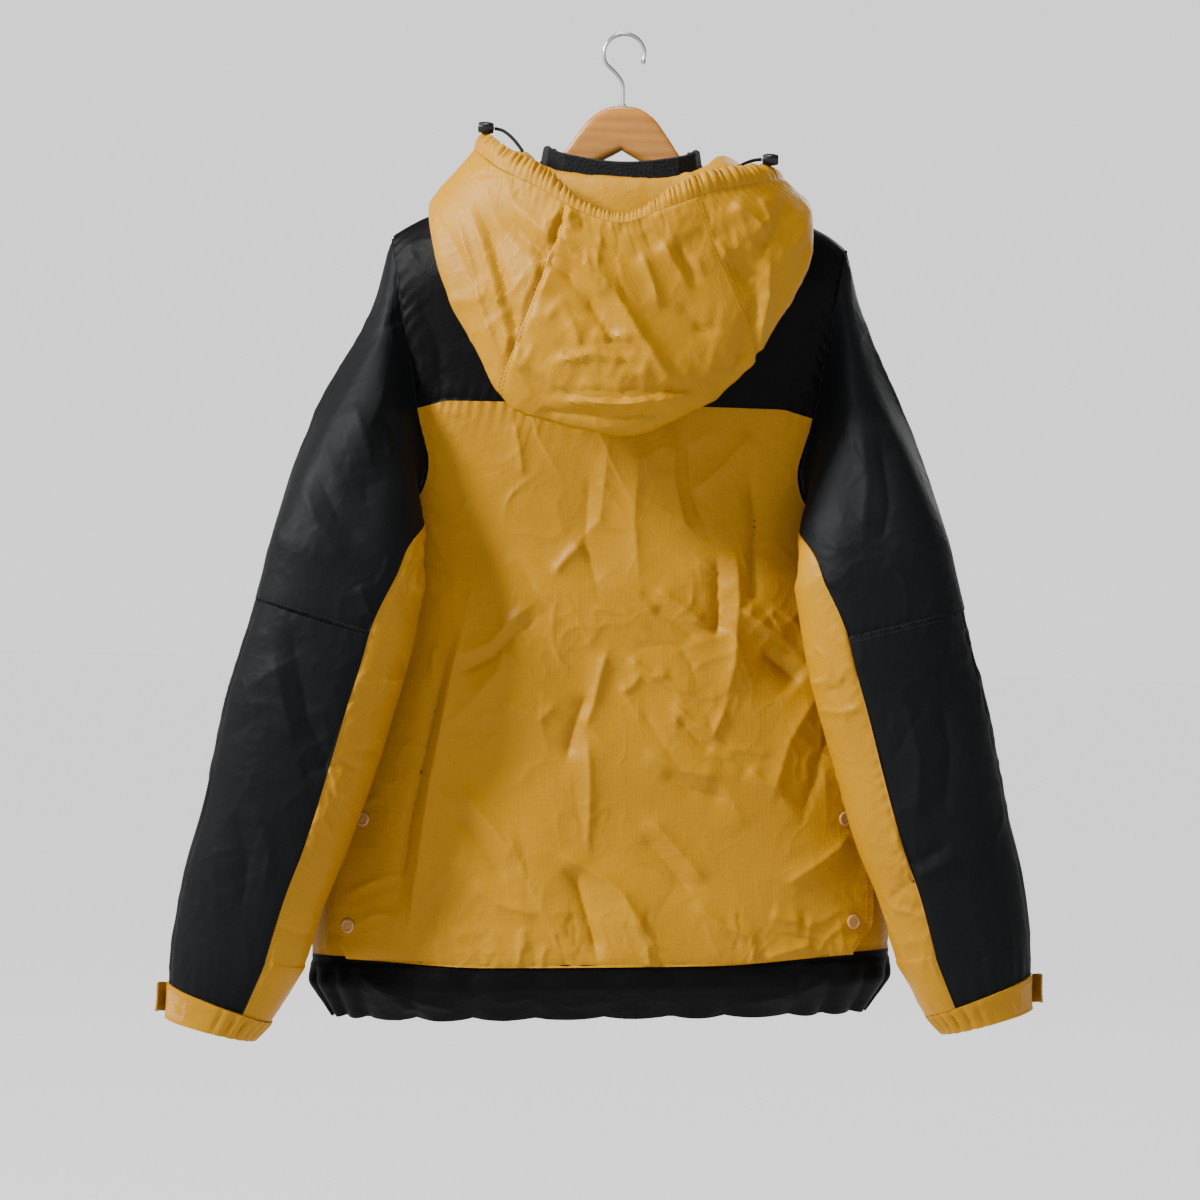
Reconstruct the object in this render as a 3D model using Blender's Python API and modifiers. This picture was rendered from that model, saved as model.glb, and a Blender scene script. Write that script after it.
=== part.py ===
"""A hooded down jacket on a wooden hanger. Metres, +Z up, the wearer's left is +X, the front faces -Y.

The origin is the inside top of the hanger's hook. The garment is lofted from named profiles: a body of
superelliptic sections under a rounded shoulder ridge, sleeves lofted from the armholes to oval rings,
and a hood bag between three curves. Every panel is a wall that is cut along its own seams.
"""
import math

import bmesh
import bpy
import numpy as np
from mathutils import Matrix, Vector

# ---- driving dimensions --------------------------------------------------------------------------
SEAM_GAP = 0.0003
HALF_GAP = SEAM_GAP / 2
BODY_WALL = 0.0063
FLAP_WALL = 0.0018
FLAP_LIFT = 0.0030
SLEEVE_WALL = 0.0060
COLLAR_WALL = 0.0045
HOOD_WALL = 0.0026
FOLD_WALL = 0.45
CUFF_WALL = 0.0032
HEM_WALL = 0.0065
SECTION_POWER = 2.25
SHOULDER_ROUND = 0.070
SHOULDER_X = 0.2025
NECK_HALF = 0.076
NECK_BACK_Z = -0.160
NECK_FRONT_Z = -0.176
NECK_SIDE_Z = -0.1172
NECK_ANGLES_BACK = (0, 22.5, 45, 67.5, 90)
NECK_ANGLES_FRONT = (35, 60, 76, 90)
UNDERARM_Z = -0.445
YOKE_Z = -0.3345
YOKE_DIP = 0.0070
YOKE_DIP_X = 0.150
PANEL_BOTTOM_Z = -0.8235
FRONT_BOTTOM_Z = -0.8243
HEM_TOP_Z = -0.8246
FLAP_START_Z = -0.500
FLAP_UNDER = 0.034
HEM_BOTTOM_Z = -0.8805
HEM_SCALLOPS = 28
ZIP_HALF = 0.0125
ZIP_TAPE_WALL = 0.0012
ZIP_CHAIN_W = 0.0060
ZIP_CHAIN_T = 0.0026
SNAP_RADIUS = 0.0066
SNAP_T = 0.0022
ELBOW_Z = -0.530
CUFF_END_Z = -0.882
CORD_RADIUS = 0.0015
HOOK_WIRE = 0.0018
HOOK_RADIUS = 0.0165
WOOD_T = 0.014
PULL_LENGTH = 0.030

# ---- profiles: one row per level -----------------------------------------------------------------
RIDGE = [  # x, z of the shoulder line
    (0.000, -0.1095), (0.050, -0.1100), (0.076, -0.1172), (0.120, -0.1400), (0.172, -0.1672),
    (0.190, -0.1765), (0.2025, -0.1860), (0.230, -0.2150),
]
BODY = [  # z, half width, half depth, centre y
    (-0.100, 0.225, 0.055, 0.000), (-0.200, 0.225, 0.055, 0.000), (-0.330, 0.225, 0.055, -0.010),
    (-0.410, 0.225, 0.055, -0.015), (-0.460, 0.2280, 0.056, -0.018), (-0.600, 0.2400, 0.060, -0.022),
    (-0.700, 0.2500, 0.063, -0.022), (-0.8235, 0.2610, 0.066, -0.020), (-0.900, 0.2610, 0.066, -0.020),
]
ARMHOLE = [  # z, x where the armhole crosses the back and front
    (-0.445, 0.2249), (-0.4410, 0.2140), (-0.4350, 0.1970), (-0.4270, 0.1810), (-0.4100, 0.1680),
    (-0.390, 0.1645), (-0.370, 0.1685), (-0.345, 0.1750), (-0.300, 0.1815), (-0.260, 0.1900),
    (-0.225, 0.1955), (-0.186, 0.2025), (-0.150, 0.2025),
]
FLAP_EDGE = [  # z, x of the back panel's free edge
    (-0.8320, 0.2230), (-0.8240, 0.2245), (-0.8020, 0.2390), (-0.7970, 0.2400), (-0.700, 0.2330),
    (-0.600, 0.2285), (-0.500, 0.2262), (-0.445, 0.2249),
]
HEM = [  # z, growth outwards from the body's section
    (-0.8246, -0.0004), (-0.8300, -0.0004), (-0.8340, 0.0010), (-0.8480, 0.0010), (-0.8610, -0.0060),
    (-0.8720, -0.0145), (-0.8805, -0.0215),
]
SLEEVE = [  # z of the centre, centre x, centre y, half width, half depth
    (-0.4771, 0.2297, 0.0640, 0.0705, 0.0450), (-0.5458, 0.2446, 0.0630, 0.0725, 0.0450),
    (-0.6032, 0.2613, 0.0610, 0.0724, 0.0450), (-0.6600, 0.2759, 0.0590, 0.0703, 0.0440),
    (-0.7153, 0.2910, 0.0570, 0.0670, 0.0425), (-0.7586, 0.3053, 0.0550, 0.0635, 0.0405),
    (-0.8073, 0.3178, 0.0530, 0.0600, 0.0380), (-0.8445, 0.3265, 0.0515, 0.0543, 0.0355),
    (-0.8820, 0.3420, 0.0500, 0.0405, 0.0290), (-0.8900, 0.3450, 0.0500, 0.0395, 0.0285),
]
SLEEVE_TILT = math.radians(14.9)
ARM_LOFT = [  # seam angle, ring angle, near ring x y z, far ring x y z
    (0, 0, 0.2262, 0.008, -0.262, 0.2733, 0.034, -0.370),
    (45, 45, 0.2150, 0.050, -0.300, 0.2580, 0.078, -0.385),
    (90, 88, 0.2030, 0.068, -0.345, 0.2320, 0.098, -0.418),
    (120, 112, 0.1880, 0.066, -0.380, 0.2040, 0.100, -0.440),
    (140, 132, 0.1730, 0.058, -0.407, 0.1800, 0.090, -0.450),
    (155, 155, 0.1680, 0.047, -0.434, 0.1640, 0.070, -0.468),
    (170, 190, 0.1930, 0.031, -0.454, 0.1720, 0.046, -0.478),
    (180, 220, 0.2215, 0.010, -0.457, 0.1960, 0.031, -0.478),
    (190, 245, 0.2375, -0.017, -0.451, 0.2180, 0.019, -0.471),
    (205, 262, 0.2370, -0.041, -0.433, 0.2365, 0.000, -0.460),
    (225, 278, 0.2190, -0.055, -0.408, 0.2470, -0.016, -0.441),
    (270, 305, 0.2100, -0.052, -0.340, 0.2590, -0.018, -0.405),
    (315, 335, 0.2165, -0.032, -0.287, 0.2710, 0.006, -0.382),
    (360, 360, 0.2262, 0.008, -0.262, 0.2733, 0.034, -0.370),
]
GUSSET = [  # distance down (0 armhole, 1 first oval, then 1 more per 0.1 m), rear edge, front edge
    (0.35, 158.0, 175.0), (0.70, 147.0, 176.0), (1.00, 138.0, 178.5), (1.60, 126.5, 186.5),
    (6.00, 126.5, 186.5),
]
HOOD = [  # place across (-1 right end, 1 left end), neck angle, fold x y z, rim x y z
    (-1.00, 14, -0.032, -0.088, -0.1680, -0.028, -0.082, -0.1300),
    (-0.86, 50, -0.122, -0.044, -0.1480, -0.110, -0.036, -0.1260),
    (-0.72, 82, -0.160, 0.032, -0.1570, -0.145, 0.042, -0.1320),
    (-0.56, 110, -0.1640, 0.074, -0.1970, -0.122, 0.092, -0.1420),
    (-0.40, 130, -0.1350, 0.094, -0.2640, -0.083, 0.112, -0.1530),
    (-0.20, 154, -0.0760, 0.108, -0.3370, -0.035, 0.124, -0.1720),
    (0.00, 180, 0.0000, 0.114, -0.3640, 0.000, 0.128, -0.1850),
    (0.20, 206, 0.0780, 0.110, -0.3500, 0.034, 0.126, -0.1760),
    (0.40, 230, 0.1250, 0.098, -0.2850, 0.074, 0.114, -0.1530),
    (0.56, 250, 0.1560, 0.080, -0.2130, 0.108, 0.094, -0.1350),
    (0.72, 278, 0.1660, 0.036, -0.1640, 0.131, 0.048, -0.1140),
    (0.86, 310, 0.1240, -0.044, -0.1470, 0.110, -0.036, -0.1230),
    (1.00, 346, 0.0320, -0.088, -0.1680, 0.028, -0.082, -0.1300),
]
HOOD_SEAM_RIGHT = -0.33
HOOD_SEAM_LEFT = 0.27
HANG_TILT = [  # z, rise per metre of x as the cloth hangs
    (-1.000, -0.038), (-0.820, -0.036), (-0.700, -0.027), (-0.500, -0.010), (-0.360, 0.000), (0.100, 0.000),
]

YELLOW = ((0.66, 0.35, 0.012), 0.55, 0.0)
BLACK = ((0.012, 0.012, 0.012), 0.60, 0.0)
CHARCOAL = ((0.020, 0.022, 0.024), 0.50, 0.0)
FLEECE = ((0.010, 0.010, 0.010), 0.95, 0.0)
WOOD = ((0.58, 0.32, 0.12), 0.45, 0.0)
STEEL = ((0.55, 0.56, 0.58), 0.30, 1.0)
TAN = ((0.50, 0.28, 0.10), 0.45, 0.0)
HOOK_TAN = ((0.58, 0.32, 0.08), 0.85, 0.0)
CORD_BLACK = ((0.010, 0.010, 0.010), 0.80, 0.0)
PLASTIC = ((0.015, 0.015, 0.015), 0.35, 0.0)


# ---- small tools ---------------------------------------------------------------------------------
def profile(table, value, column=1):
    """Smooth monotone curve through a table's rows, read at value."""
    rows = sorted(table)
    xs = [row[0] for row in rows]
    ys = [row[column] for row in rows]
    if value <= xs[0]:
        return ys[0]
    if value >= xs[-1]:
        return ys[-1]
    slopes = [(ys[i + 1] - ys[i]) / (xs[i + 1] - xs[i]) for i in range(len(xs) - 1)]
    i = max(k for k in range(len(slopes)) if xs[k] <= value)

    def tangent(k):
        if k == 0:
            return slopes[0]
        if k == len(slopes):
            return slopes[-1]
        if slopes[k - 1] * slopes[k] <= 0:
            return 0.0
        return 2 * slopes[k - 1] * slopes[k] / (slopes[k - 1] + slopes[k])

    step = xs[i + 1] - xs[i]
    f = (value - xs[i]) / step
    h00 = 2 * f**3 - 3 * f**2 + 1
    h10 = f**3 - 2 * f**2 + f
    h01 = -2 * f**3 + 3 * f**2
    h11 = f**3 - f**2
    return h00 * ys[i] + h10 * step * tangent(i) + h01 * ys[i + 1] + h11 * step * tangent(i + 1)


def smooth(low, high, value):
    f = min(1.0, max(0.0, (value - low) / (high - low)))
    return f * f * (3 - 2 * f)


def vec(*values):
    return np.array(values, dtype=float)


def unit(v):
    return v / max(1e-12, np.linalg.norm(v))


def hang(point):
    """The garment's slight skew: its left side hangs lower towards the hem."""
    x, y, z = point
    return vec(x, y, z + profile(HANG_TILT, z) * x)


def material(name, finish):
    colour, roughness, metallic = finish
    mat = bpy.data.materials.new(name)
    mat.use_nodes = True
    shader = mat.node_tree.nodes["Principled BSDF"]
    shader.inputs["Base Color"].default_value = (*colour, 1.0)
    shader.inputs["Roughness"].default_value = roughness
    shader.inputs["Metallic"].default_value = metallic
    return mat


def add_mesh(name, verts, faces, finish, flip=False):
    mesh = bpy.data.meshes.new(name)
    mesh.from_pydata([tuple(v) for v in verts], [], [tuple(reversed(f)) if flip else f for f in faces])
    bm = bmesh.new()
    bm.from_mesh(mesh)
    bmesh.ops.recalc_face_normals(bm, faces=bm.faces)
    bm.to_mesh(mesh)
    bm.free()
    mesh.shade_smooth()
    mesh.set_sharp_from_angle(angle=math.radians(50))
    mesh.materials.append(material(name, finish))
    obj = bpy.data.objects.new(name, mesh)
    PART.objects.link(obj)
    return obj


def wall(name, outer, inner, finish, ring=False):
    """A closed wall from an outer and an inner grid of points; ring closes the columns into a tube."""
    rows = len(outer)
    cols = len(outer[0])
    verts = [p for row in outer for p in row] + [p for row in inner for p in row]
    base = rows * cols

    def at(j, i, side):
        return side * base + j * cols + (i % cols)

    faces = []
    last = cols if ring else cols - 1
    for j in range(rows - 1):
        for i in range(last):
            faces.append((at(j, i, 0), at(j, i + 1, 0), at(j + 1, i + 1, 0), at(j + 1, i, 0)))
            faces.append((at(j, i, 1), at(j + 1, i, 1), at(j + 1, i + 1, 1), at(j, i + 1, 1)))
    for i in range(last):
        faces.append((at(0, i, 0), at(0, i, 1), at(0, i + 1, 1), at(0, i + 1, 0)))
        last = rows - 1
        faces.append((at(last, i, 0), at(last, i + 1, 0), at(last, i + 1, 1), at(last, i, 1)))
    if not ring:
        for j in range(rows - 1):
            faces.append((at(j, 0, 0), at(j + 1, 0, 0), at(j + 1, 0, 1), at(j, 0, 1)))
            last = cols - 1
            faces.append((at(j, last, 0), at(j, last, 1), at(j + 1, last, 1), at(j + 1, last, 0)))
    return add_mesh(name, verts, faces, finish)


def mirrored(points, side):
    return [[vec(p[0] * side, p[1], p[2]) for p in row] for row in points]


def hung(points):
    return [[hang(p) for p in row] for row in points]


# ---- body surface --------------------------------------------------------------------------------
def ridge_z(x):
    return profile(RIDGE, abs(x))


def body_size(z):
    return profile(BODY, z, 1), profile(BODY, z, 2), profile(BODY, z, 3)


def section(angle):
    """A superellipse's unit point: x to the left, y to the back; angle 0 is the back, 180 the front."""
    s, c = math.sin(angle), math.cos(angle)
    r = (abs(s) ** SECTION_POWER + abs(c) ** SECTION_POWER) ** (-1 / SECTION_POWER)
    return s * r, c * r


def angle_at(x, z):
    """The section angle (0 to 90 degrees) where the body's half is x wide at height z."""
    share = min(0.999999, abs(x) / body_size(z)[0])
    return math.atan((share**SECTION_POWER / (1 - share**SECTION_POWER)) ** (1 / SECTION_POWER))


def body_point(angle, z, grow=0.0):
    width, depth, centre = body_size(z)
    sx, sy = section(angle)
    x = width * sx
    drop = max(0.0, ridge_z(x) - z)
    depth_share = 1.0
    if drop < SHOULDER_ROUND:
        depth_share = math.sqrt(max(0.0, 1 - (1 - drop / SHOULDER_ROUND) ** 2))
    point = vec(x, centre + depth * sy * depth_share, z)
    if grow:
        point = point + grow * body_normal(angle, z)
    return point


def body_normal(angle, z):
    """Outward normal; near the ridge the surface faces up."""
    width = body_size(z)[0]
    x = width * section(angle)[0]
    slope = (ridge_z(abs(x) + 0.001) - ridge_z(abs(x) - 0.001)) / 0.002 * (1 if x >= 0 else -1)
    if ridge_z(x) - z < 1e-5:
        return unit(vec(-slope, 0.0, 1.0))
    across = body_point(angle + 1e-3, z) - body_point(angle - 1e-3, z)
    down = body_point(angle, z - 2e-4) - body_point(angle, z)
    normal = unit(np.cross(across, down))
    centre = vec(0, body_size(z)[2], z - 0.05)
    if np.dot(normal, body_point(angle, z) - centre) < 0:
        normal = -normal
    return normal


def back_at(x, z, grow=0.0):
    angle = angle_at(x, z) * (1 if x >= 0 else -1)
    return body_point(angle, z, grow)


def front_at(x, z, grow=0.0):
    angle = math.pi - angle_at(x, z)
    return body_point(angle if x >= 0 else -angle, z, grow)


def yoke_z(x):
    """The yoke seam's height; it dips towards the armhole."""
    edge = profile(ARMHOLE, YOKE_Z - YOKE_DIP)
    return YOKE_Z - YOKE_DIP * min(1.0, max(0.0, (abs(x) - YOKE_DIP_X) / (edge - YOKE_DIP_X)))


def neck_z(x, front):
    """The neckline's height, an elliptic dip between the shoulder ridges."""
    low = NECK_FRONT_Z if front else NECK_BACK_Z
    share = min(1.0, abs(x) / NECK_HALF)
    return low + (NECK_SIDE_Z - low) * (1 - math.sqrt(max(0.0, 1 - share**2.4)))


def top_z(x, front):
    return neck_z(x, front) if abs(x) < NECK_HALF - 1e-9 else ridge_z(x) - 2.6e-7


# ---- body panels ---------------------------------------------------------------------------------
def yoke_levels(x0, front):
    """Heights of the yoke's rows below the top edge at x0: rounded shoulder, then straight to the seam."""
    top = top_z(x0, front)
    start = math.acos(max(-1.0, min(1.0, 1 - (ridge_z(x0) - top) / SHOULDER_ROUND)))
    levels = [top]
    for row in range(1, 5):
        turn = start + (math.pi / 2 - start) * row / 5
        levels.append(ridge_z(x0) - SHOULDER_ROUND * (1 - math.cos(turn)))
    z_round = ridge_z(x0) - SHOULDER_ROUND
    bottom = yoke_z(yoke_x(x0, YOKE_Z - YOKE_DIP)) + HALF_GAP
    straight = 2 if front else 3
    return levels + [z_round + (bottom - z_round) * k / (straight - 1) for k in range(straight)]


def yoke_x(x0, z):
    """A column keeps its place beside the neck and follows the armhole beyond it."""
    if abs(x0) <= NECK_HALF:
        return x0
    share = (abs(x0) - NECK_HALF) / (SHOULDER_X - NECK_HALF)
    x = NECK_HALF + share * (profile(ARMHOLE, z) - NECK_HALF)
    return math.copysign(x, x0)


def yoke_columns(front):
    edge = profile(ARMHOLE, YOKE_Z - YOKE_DIP)
    scale = (edge - NECK_HALF) / (SHOULDER_X - NECK_HALF)
    dip = NECK_HALF + (YOKE_DIP_X - NECK_HALF) / scale
    beside = [float(x) for x in np.linspace(NECK_HALF, dip, 6)][1:] + [(dip + SHOULDER_X) / 2, SHOULDER_X]
    angles = NECK_ANGLES_FRONT if front else NECK_ANGLES_BACK
    neck = [NECK_HALF * math.sin(math.radians(a)) for a in angles]
    if front:
        return [ZIP_HALF] + neck + beside
    return [-x for x in reversed(neck[1:] + beside)] + neck + beside


def yoke_grid(front, grow):
    """Rows from the shoulder or neckline down to the yoke seam."""
    place = front_at if front else back_at
    lines = []
    for x0 in yoke_columns(front):
        thin = 1 - 0.72 * smooth(0.055, 0.072, abs(x0)) * (1 - smooth(0.078, 0.120, abs(x0)))
        line = []
        for z in yoke_levels(x0, front):
            x = yoke_x(x0, z)
            line.append(place(x, min(z, ridge_z(x) - 2.6e-7), grow * thin))
        lines.append(line)
    return [list(row) for row in zip(*lines)]


def make_yokes():
    wall("back_yoke", hung(yoke_grid(False, 0.0)), hung(yoke_grid(False, -BODY_WALL)), BLACK)
    outer, inner = yoke_grid(True, 0.0), yoke_grid(True, -BODY_WALL)
    for side, word in ((1, "left"), (-1, "right")):
        wall(f"front_yoke_{word}", hung(mirrored(outer, side)), hung(mirrored(inner, side)), BLACK)


UPPER_ROWS = [-0.4410, -0.4350, -0.4270, -0.4120, -0.392, -0.368]
SIDE_ROWS = [-0.4438, -0.4425]
LOWER_ROWS = [-0.802, -0.755, -0.700, -0.640, -0.582, -0.532, -0.500, -0.470, -0.445]


def edge_x(z):
    return profile(ARMHOLE, z) if z > UNDERARM_Z else profile(FLAP_EDGE, z)


def step_x(z):
    """Where the back panel's padded part ends and its thin free flap begins."""
    flap = FLAP_UNDER * smooth(FLAP_START_Z, FLAP_START_Z - 0.06, z)
    return edge_x(z) - max(flap, 0.0014)


def lift(z):
    return FLAP_LIFT * smooth(FLAP_START_Z + 0.05, FLAP_START_Z, z)


def hang_below(x):
    """The back panel's lower edge hangs over the hem band, deepest in the middle."""
    return -0.8325 + 0.0060 * smooth(0.10, 0.225, abs(x))


FLAP_SHARES = (0.012, 0.25, 0.5, 0.75, 1.0)
STEP_WIDTH = 0.0004


def make_back_panel():
    half = [0, 0.12, 0.24, 0.36, 0.48, 0.60, 0.72, None, 0.93, 1]
    top_limit = step_x(YOKE_Z - YOKE_DIP)
    half[7] = YOKE_DIP_X / top_limit
    columns = [(s, False) for s in half] + [(s, True) for s in FLAP_SHARES]
    columns = [(-s, flap) for s, flap in reversed(columns[1:])] + columns
    rows = ["below", PANEL_BOTTOM_Z - 0.0006, PANEL_BOTTOM_Z] + LOWER_ROWS + UPPER_ROWS + ["seam"]
    outer, inner = [], []
    for row in rows:
        level = {"below": PANEL_BOTTOM_Z - 0.007, "seam": YOKE_Z - YOKE_DIP}.get(row, row)
        line_out, line_in = [], []
        for share, flap in columns:
            z = level
            limit, edge = step_x(z), edge_x(z)
            if flap:
                x = limit + max(STEP_WIDTH, abs(share) * (edge - limit))
                if abs(share) == 1.0 and z <= UNDERARM_Z:
                    x -= HALF_GAP
                x = math.copysign(x, share)
            else:
                x = share * limit
            if row == "below":
                z = hang_below(x)
            if row == "seam":
                z = yoke_z(x) - HALF_GAP
            up = lift(z)
            thin = (flap and z <= FLAP_START_Z) or row in rows[:2]
            line_out.append(back_at(x, z, up))
            line_in.append(back_at(x, z, up - (FLAP_WALL if thin else BODY_WALL)))
        outer.append(line_out)
        inner.append(line_in)
    wall("back_panel", hung(outer), hung(inner), YELLOW)


def front_reach(z):
    """The body angle where the front panel ends: at the armhole, the side seam or under the flap."""
    if z >= SIDE_ROWS[1] - 1e-9:
        return math.pi - angle_at(profile(ARMHOLE, z), z)
    if z >= SIDE_ROWS[0] - 1e-9:
        return math.pi / 2
    if z >= FLAP_START_Z - 1e-9:
        return angle_at(edge_x(z) + HALF_GAP, z)
    return angle_at(step_x(z) + 2 * STEP_WIDTH, z)


def make_fronts():
    """Each front runs from the zip round the side and on under the back panel's flap."""
    count = 15
    rows = [FRONT_BOTTOM_Z] + LOWER_ROWS + SIDE_ROWS + UPPER_ROWS + ["seam"]
    outer, inner = [], []
    for row in rows:
        level = YOKE_Z - YOKE_DIP if row == "seam" else row
        first = math.pi - angle_at(ZIP_HALF, level)
        last = front_reach(level)
        line_out, line_in = [], []
        for i in range(count):
            angle = first + (last - first) * i / (count - 1)
            z = level
            if row == "seam":
                x = ZIP_HALF + (profile(ARMHOLE, level) - ZIP_HALF) * i / (count - 1)
                if i == count - 3:
                    x = YOKE_DIP_X
                z = yoke_z(x) - HALF_GAP
                angle = math.pi - angle_at(x, z)
            line_out.append(body_point(angle, z))
            line_in.append(body_point(angle, z, -BODY_WALL))
        outer.append(line_out)
        inner.append(line_in)
    for side, word in ((1, "left"), (-1, "right")):
        wall(f"front_{word}", hung(mirrored(outer, side)), hung(mirrored(inner, side)), YELLOW)


def hem_ring_angle(share):
    """Angle round the hem from one side of the zip to the other; share -1 to 1."""
    reach = math.pi - angle_at(ZIP_HALF, PANEL_BOTTOM_Z)
    return share * reach


def make_hem():
    columns = 4 * HEM_SCALLOPS // 2 + 1
    levels = [HEM_TOP_Z, -0.8335, -0.8470, -0.8610, -0.8725, HEM_BOTTOM_Z]
    outer, inner = [], []
    for z in levels:
        line_out, line_in = [], []
        for i in range(columns):
            angle = hem_ring_angle(-1 + 2 * i / (columns - 1))
            wave = math.cos(2 * math.pi * HEM_SCALLOPS / 2 * i / (columns - 1))
            depth = smooth(-0.836, -0.868, z)
            grow = profile(HEM, z) + 0.0022 * wave * depth
            zz = z - 0.0022 * wave * smooth(-0.866, HEM_BOTTOM_Z, z)
            line_out.append(body_point(angle, zz, grow))
            inset = HEM_WALL * (1 if z > -0.87 else 0.72)
            line_in.append(body_point(angle, zz, grow - inset) + vec(0, 0, 0.0015 if z < -0.875 else 0))
        outer.append(line_out)
        inner.append(line_in)
    wall("hem_band", hung(outer), hung(inner), BLACK)


# ---- sleeves -------------------------------------------------------------------------------------
def armhole_corners():
    """The left armhole's corners, down the back and up the front, as body angle and height."""
    seam = YOKE_Z - YOKE_DIP
    back = yoke_levels(SHOULDER_X, False)[:-1] + [seam] + list(reversed(UPPER_ROWS))
    front = UPPER_ROWS + [seam] + list(reversed(yoke_levels(SHOULDER_X, True)[:-1]))
    corners = [(angle_at(profile(ARMHOLE, z), z), z) for z in back]
    corners.append((angle_at(edge_x(UNDERARM_Z), UNDERARM_Z), UNDERARM_Z))
    corners.append((math.pi / 2, SIDE_ROWS[0]))
    corners += [(math.pi - angle_at(profile(ARMHOLE, z), z), z) for z in [SIDE_ROWS[1]] + front]
    return corners, len(back)


def armhole_loop():
    """Seam angles (0 shoulder, 180 underarm), points, normals and ways out of the panels at the corners."""
    corners, under = armhole_corners()
    points = [body_point(a, z) for a, z in corners]
    normals = [body_normal(a, z) for a, z in corners]
    lengths = np.cumsum([0.0] + [np.linalg.norm(b - a) for a, b in zip(points[:-1], points[1:])])
    round_angles = [180 * v / lengths[under] for v in lengths[:under + 1]]
    front_length = lengths[-1] - lengths[under]
    round_angles += [180 + 180 * (v - lengths[under]) / front_length for v in lengths[under + 1:]]
    ways = []
    for k, normal in enumerate(normals):
        before = points[k] - points[k - 1] if k else points[0] - points[-2]
        after = points[k + 1] - points[k] if k < len(points) - 1 else points[1] - points[0]
        ways.append(unit(np.cross(unit(before) + unit(after), normal)))
    return round_angles, points, normals, ways


LOOP_ANGLES, LOOP_POINTS, LOOP_NORMALS, LOOP_WAYS = armhole_loop()


def armhole_edge(theta):
    """A point of the left armhole, the body's normal there and the way out of the panel's edge."""
    theta = theta % 360
    found = []
    for values in (LOOP_POINTS, LOOP_NORMALS, LOOP_WAYS):
        found.append(vec(*[np.interp(theta, LOOP_ANGLES, [v[axis] for v in values]) for axis in range(3)]))
    return found[0], unit(found[1]), unit(found[2])


def loft_row(theta):
    cols = []
    for column in range(1, 8):
        cols.append(profile([(row[0], row[column]) for row in ARM_LOFT], theta % 360))
    return cols


def oval(theta, z, grow=0.0):
    """The sleeve's ring round height z. theta 0 is the outer edge, 90 the rear, 180 the inner edge."""
    cx, cy, a, b = (profile(SLEEVE, z, k) for k in (1, 2, 3, 4))
    t = math.radians(theta)
    c, s = math.cos(t), math.sin(t)
    power = 2.2
    r = (abs(c) ** power + abs(s) ** power) ** (-1 / power)
    side = vec(math.cos(SLEEVE_TILT), 0.0, math.sin(SLEEVE_TILT))
    n = unit(side * (c / a) + vec(0, s / b, 0))
    return vec(cx, cy, z) + side * (a * c * r) + vec(0, b * s * r, 0) + n * grow


FIRST_OVAL_Z = SLEEVE[0][0]
TURN_STEPS = 3
SEAM_CLEAR = 0.0022


def fold_amount(theta):
    """How far the cloth folds back on the body at the seam: near 1 at the underarm, 0 at the shoulder."""
    theta = theta % 360
    edge, normal, way = armhole_edge(theta)
    leaving = vec(*loft_row(theta)[1:4]) - edge
    turn = math.atan2(max(0.0, np.dot(leaving, normal)), np.dot(leaving, way)) / math.pi
    return turn * smooth(128, 166, theta) * (1 - smooth(206, 244, theta))


def sleeve_wall(theta, down):
    """The wall thins where it folds at the underarm."""
    turned = theta % 360
    at_seam = min(1.0, 1.5 * fold_amount(theta)) * (1 - smooth(0.30, 0.95, down))
    below = smooth(160, 178, turned) * (1 - smooth(218, 240, turned)) * (1 - smooth(1.0, 1.35, down))
    return SLEEVE_WALL * (1 - 0.86 * max(at_seam, below))


def seam_turn(theta, step):
    """Outer and inner points of the rings that turn round the panel's edge; step 0 to TURN_STEPS."""
    edge, normal, way = armhole_edge(theta)
    fold = fold_amount(theta)
    turn = math.pi * fold * step / TURN_STEPS
    clear = SEAM_GAP + (SEAM_CLEAR - SEAM_GAP) * fold * step / TURN_STEPS
    toward = way * math.cos(turn / 2) + normal * math.sin(turn / 2)
    outer = edge + toward * clear + way * 0.0012 * step * (1 - fold)
    facing = normal * math.cos(turn) - way * math.sin(turn)
    return outer, outer - facing * sleeve_wall(theta, 0.0)


def sleeve_point(theta, down):
    """A point of the left sleeve's outer surface. down: 0 armhole, 1 first oval, then 1 more per 0.1 m."""
    ring_theta, nx, ny, nz, fx, fy, fz = loft_row(theta)
    if down >= 1:
        return oval(ring_theta, FIRST_OVAL_Z - 0.1 * (down - 1))
    points = [seam_turn(theta, TURN_STEPS)[0], vec(nx, ny, nz), vec(fx, fy, fz),
              oval(ring_theta, FIRST_OVAL_Z), oval(ring_theta, FIRST_OVAL_Z - 0.05)]
    knots = [0.0, 0.38, 0.72, 1.0, 1.5]
    tangents = []
    for k in range(5):
        lo, hi = max(0, k - 1), min(4, k + 1)
        tangents.append((points[hi] - points[lo]) / (knots[hi] - knots[lo]))
    k = 0 if down < knots[1] else 1 if down < knots[2] else 2
    step = knots[k + 1] - knots[k]
    f = (down - knots[k]) / step
    return (points[k] * (2 * f**3 - 3 * f**2 + 1) + tangents[k] * step * (f**3 - 2 * f**2 + f)
            + points[k + 1] * (-2 * f**3 + 3 * f**2) + tangents[k + 1] * step * (f**3 - f**2))


def sleeve_normal(theta, down):
    step = 0.01
    across = sleeve_point(theta + 1.5, down) - sleeve_point(theta - 1.5, down)
    low = max(0.0, down - step)
    along = sleeve_point(theta, low + 2 * step) - sleeve_point(theta, low)
    return unit(np.cross(along, across))


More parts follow.
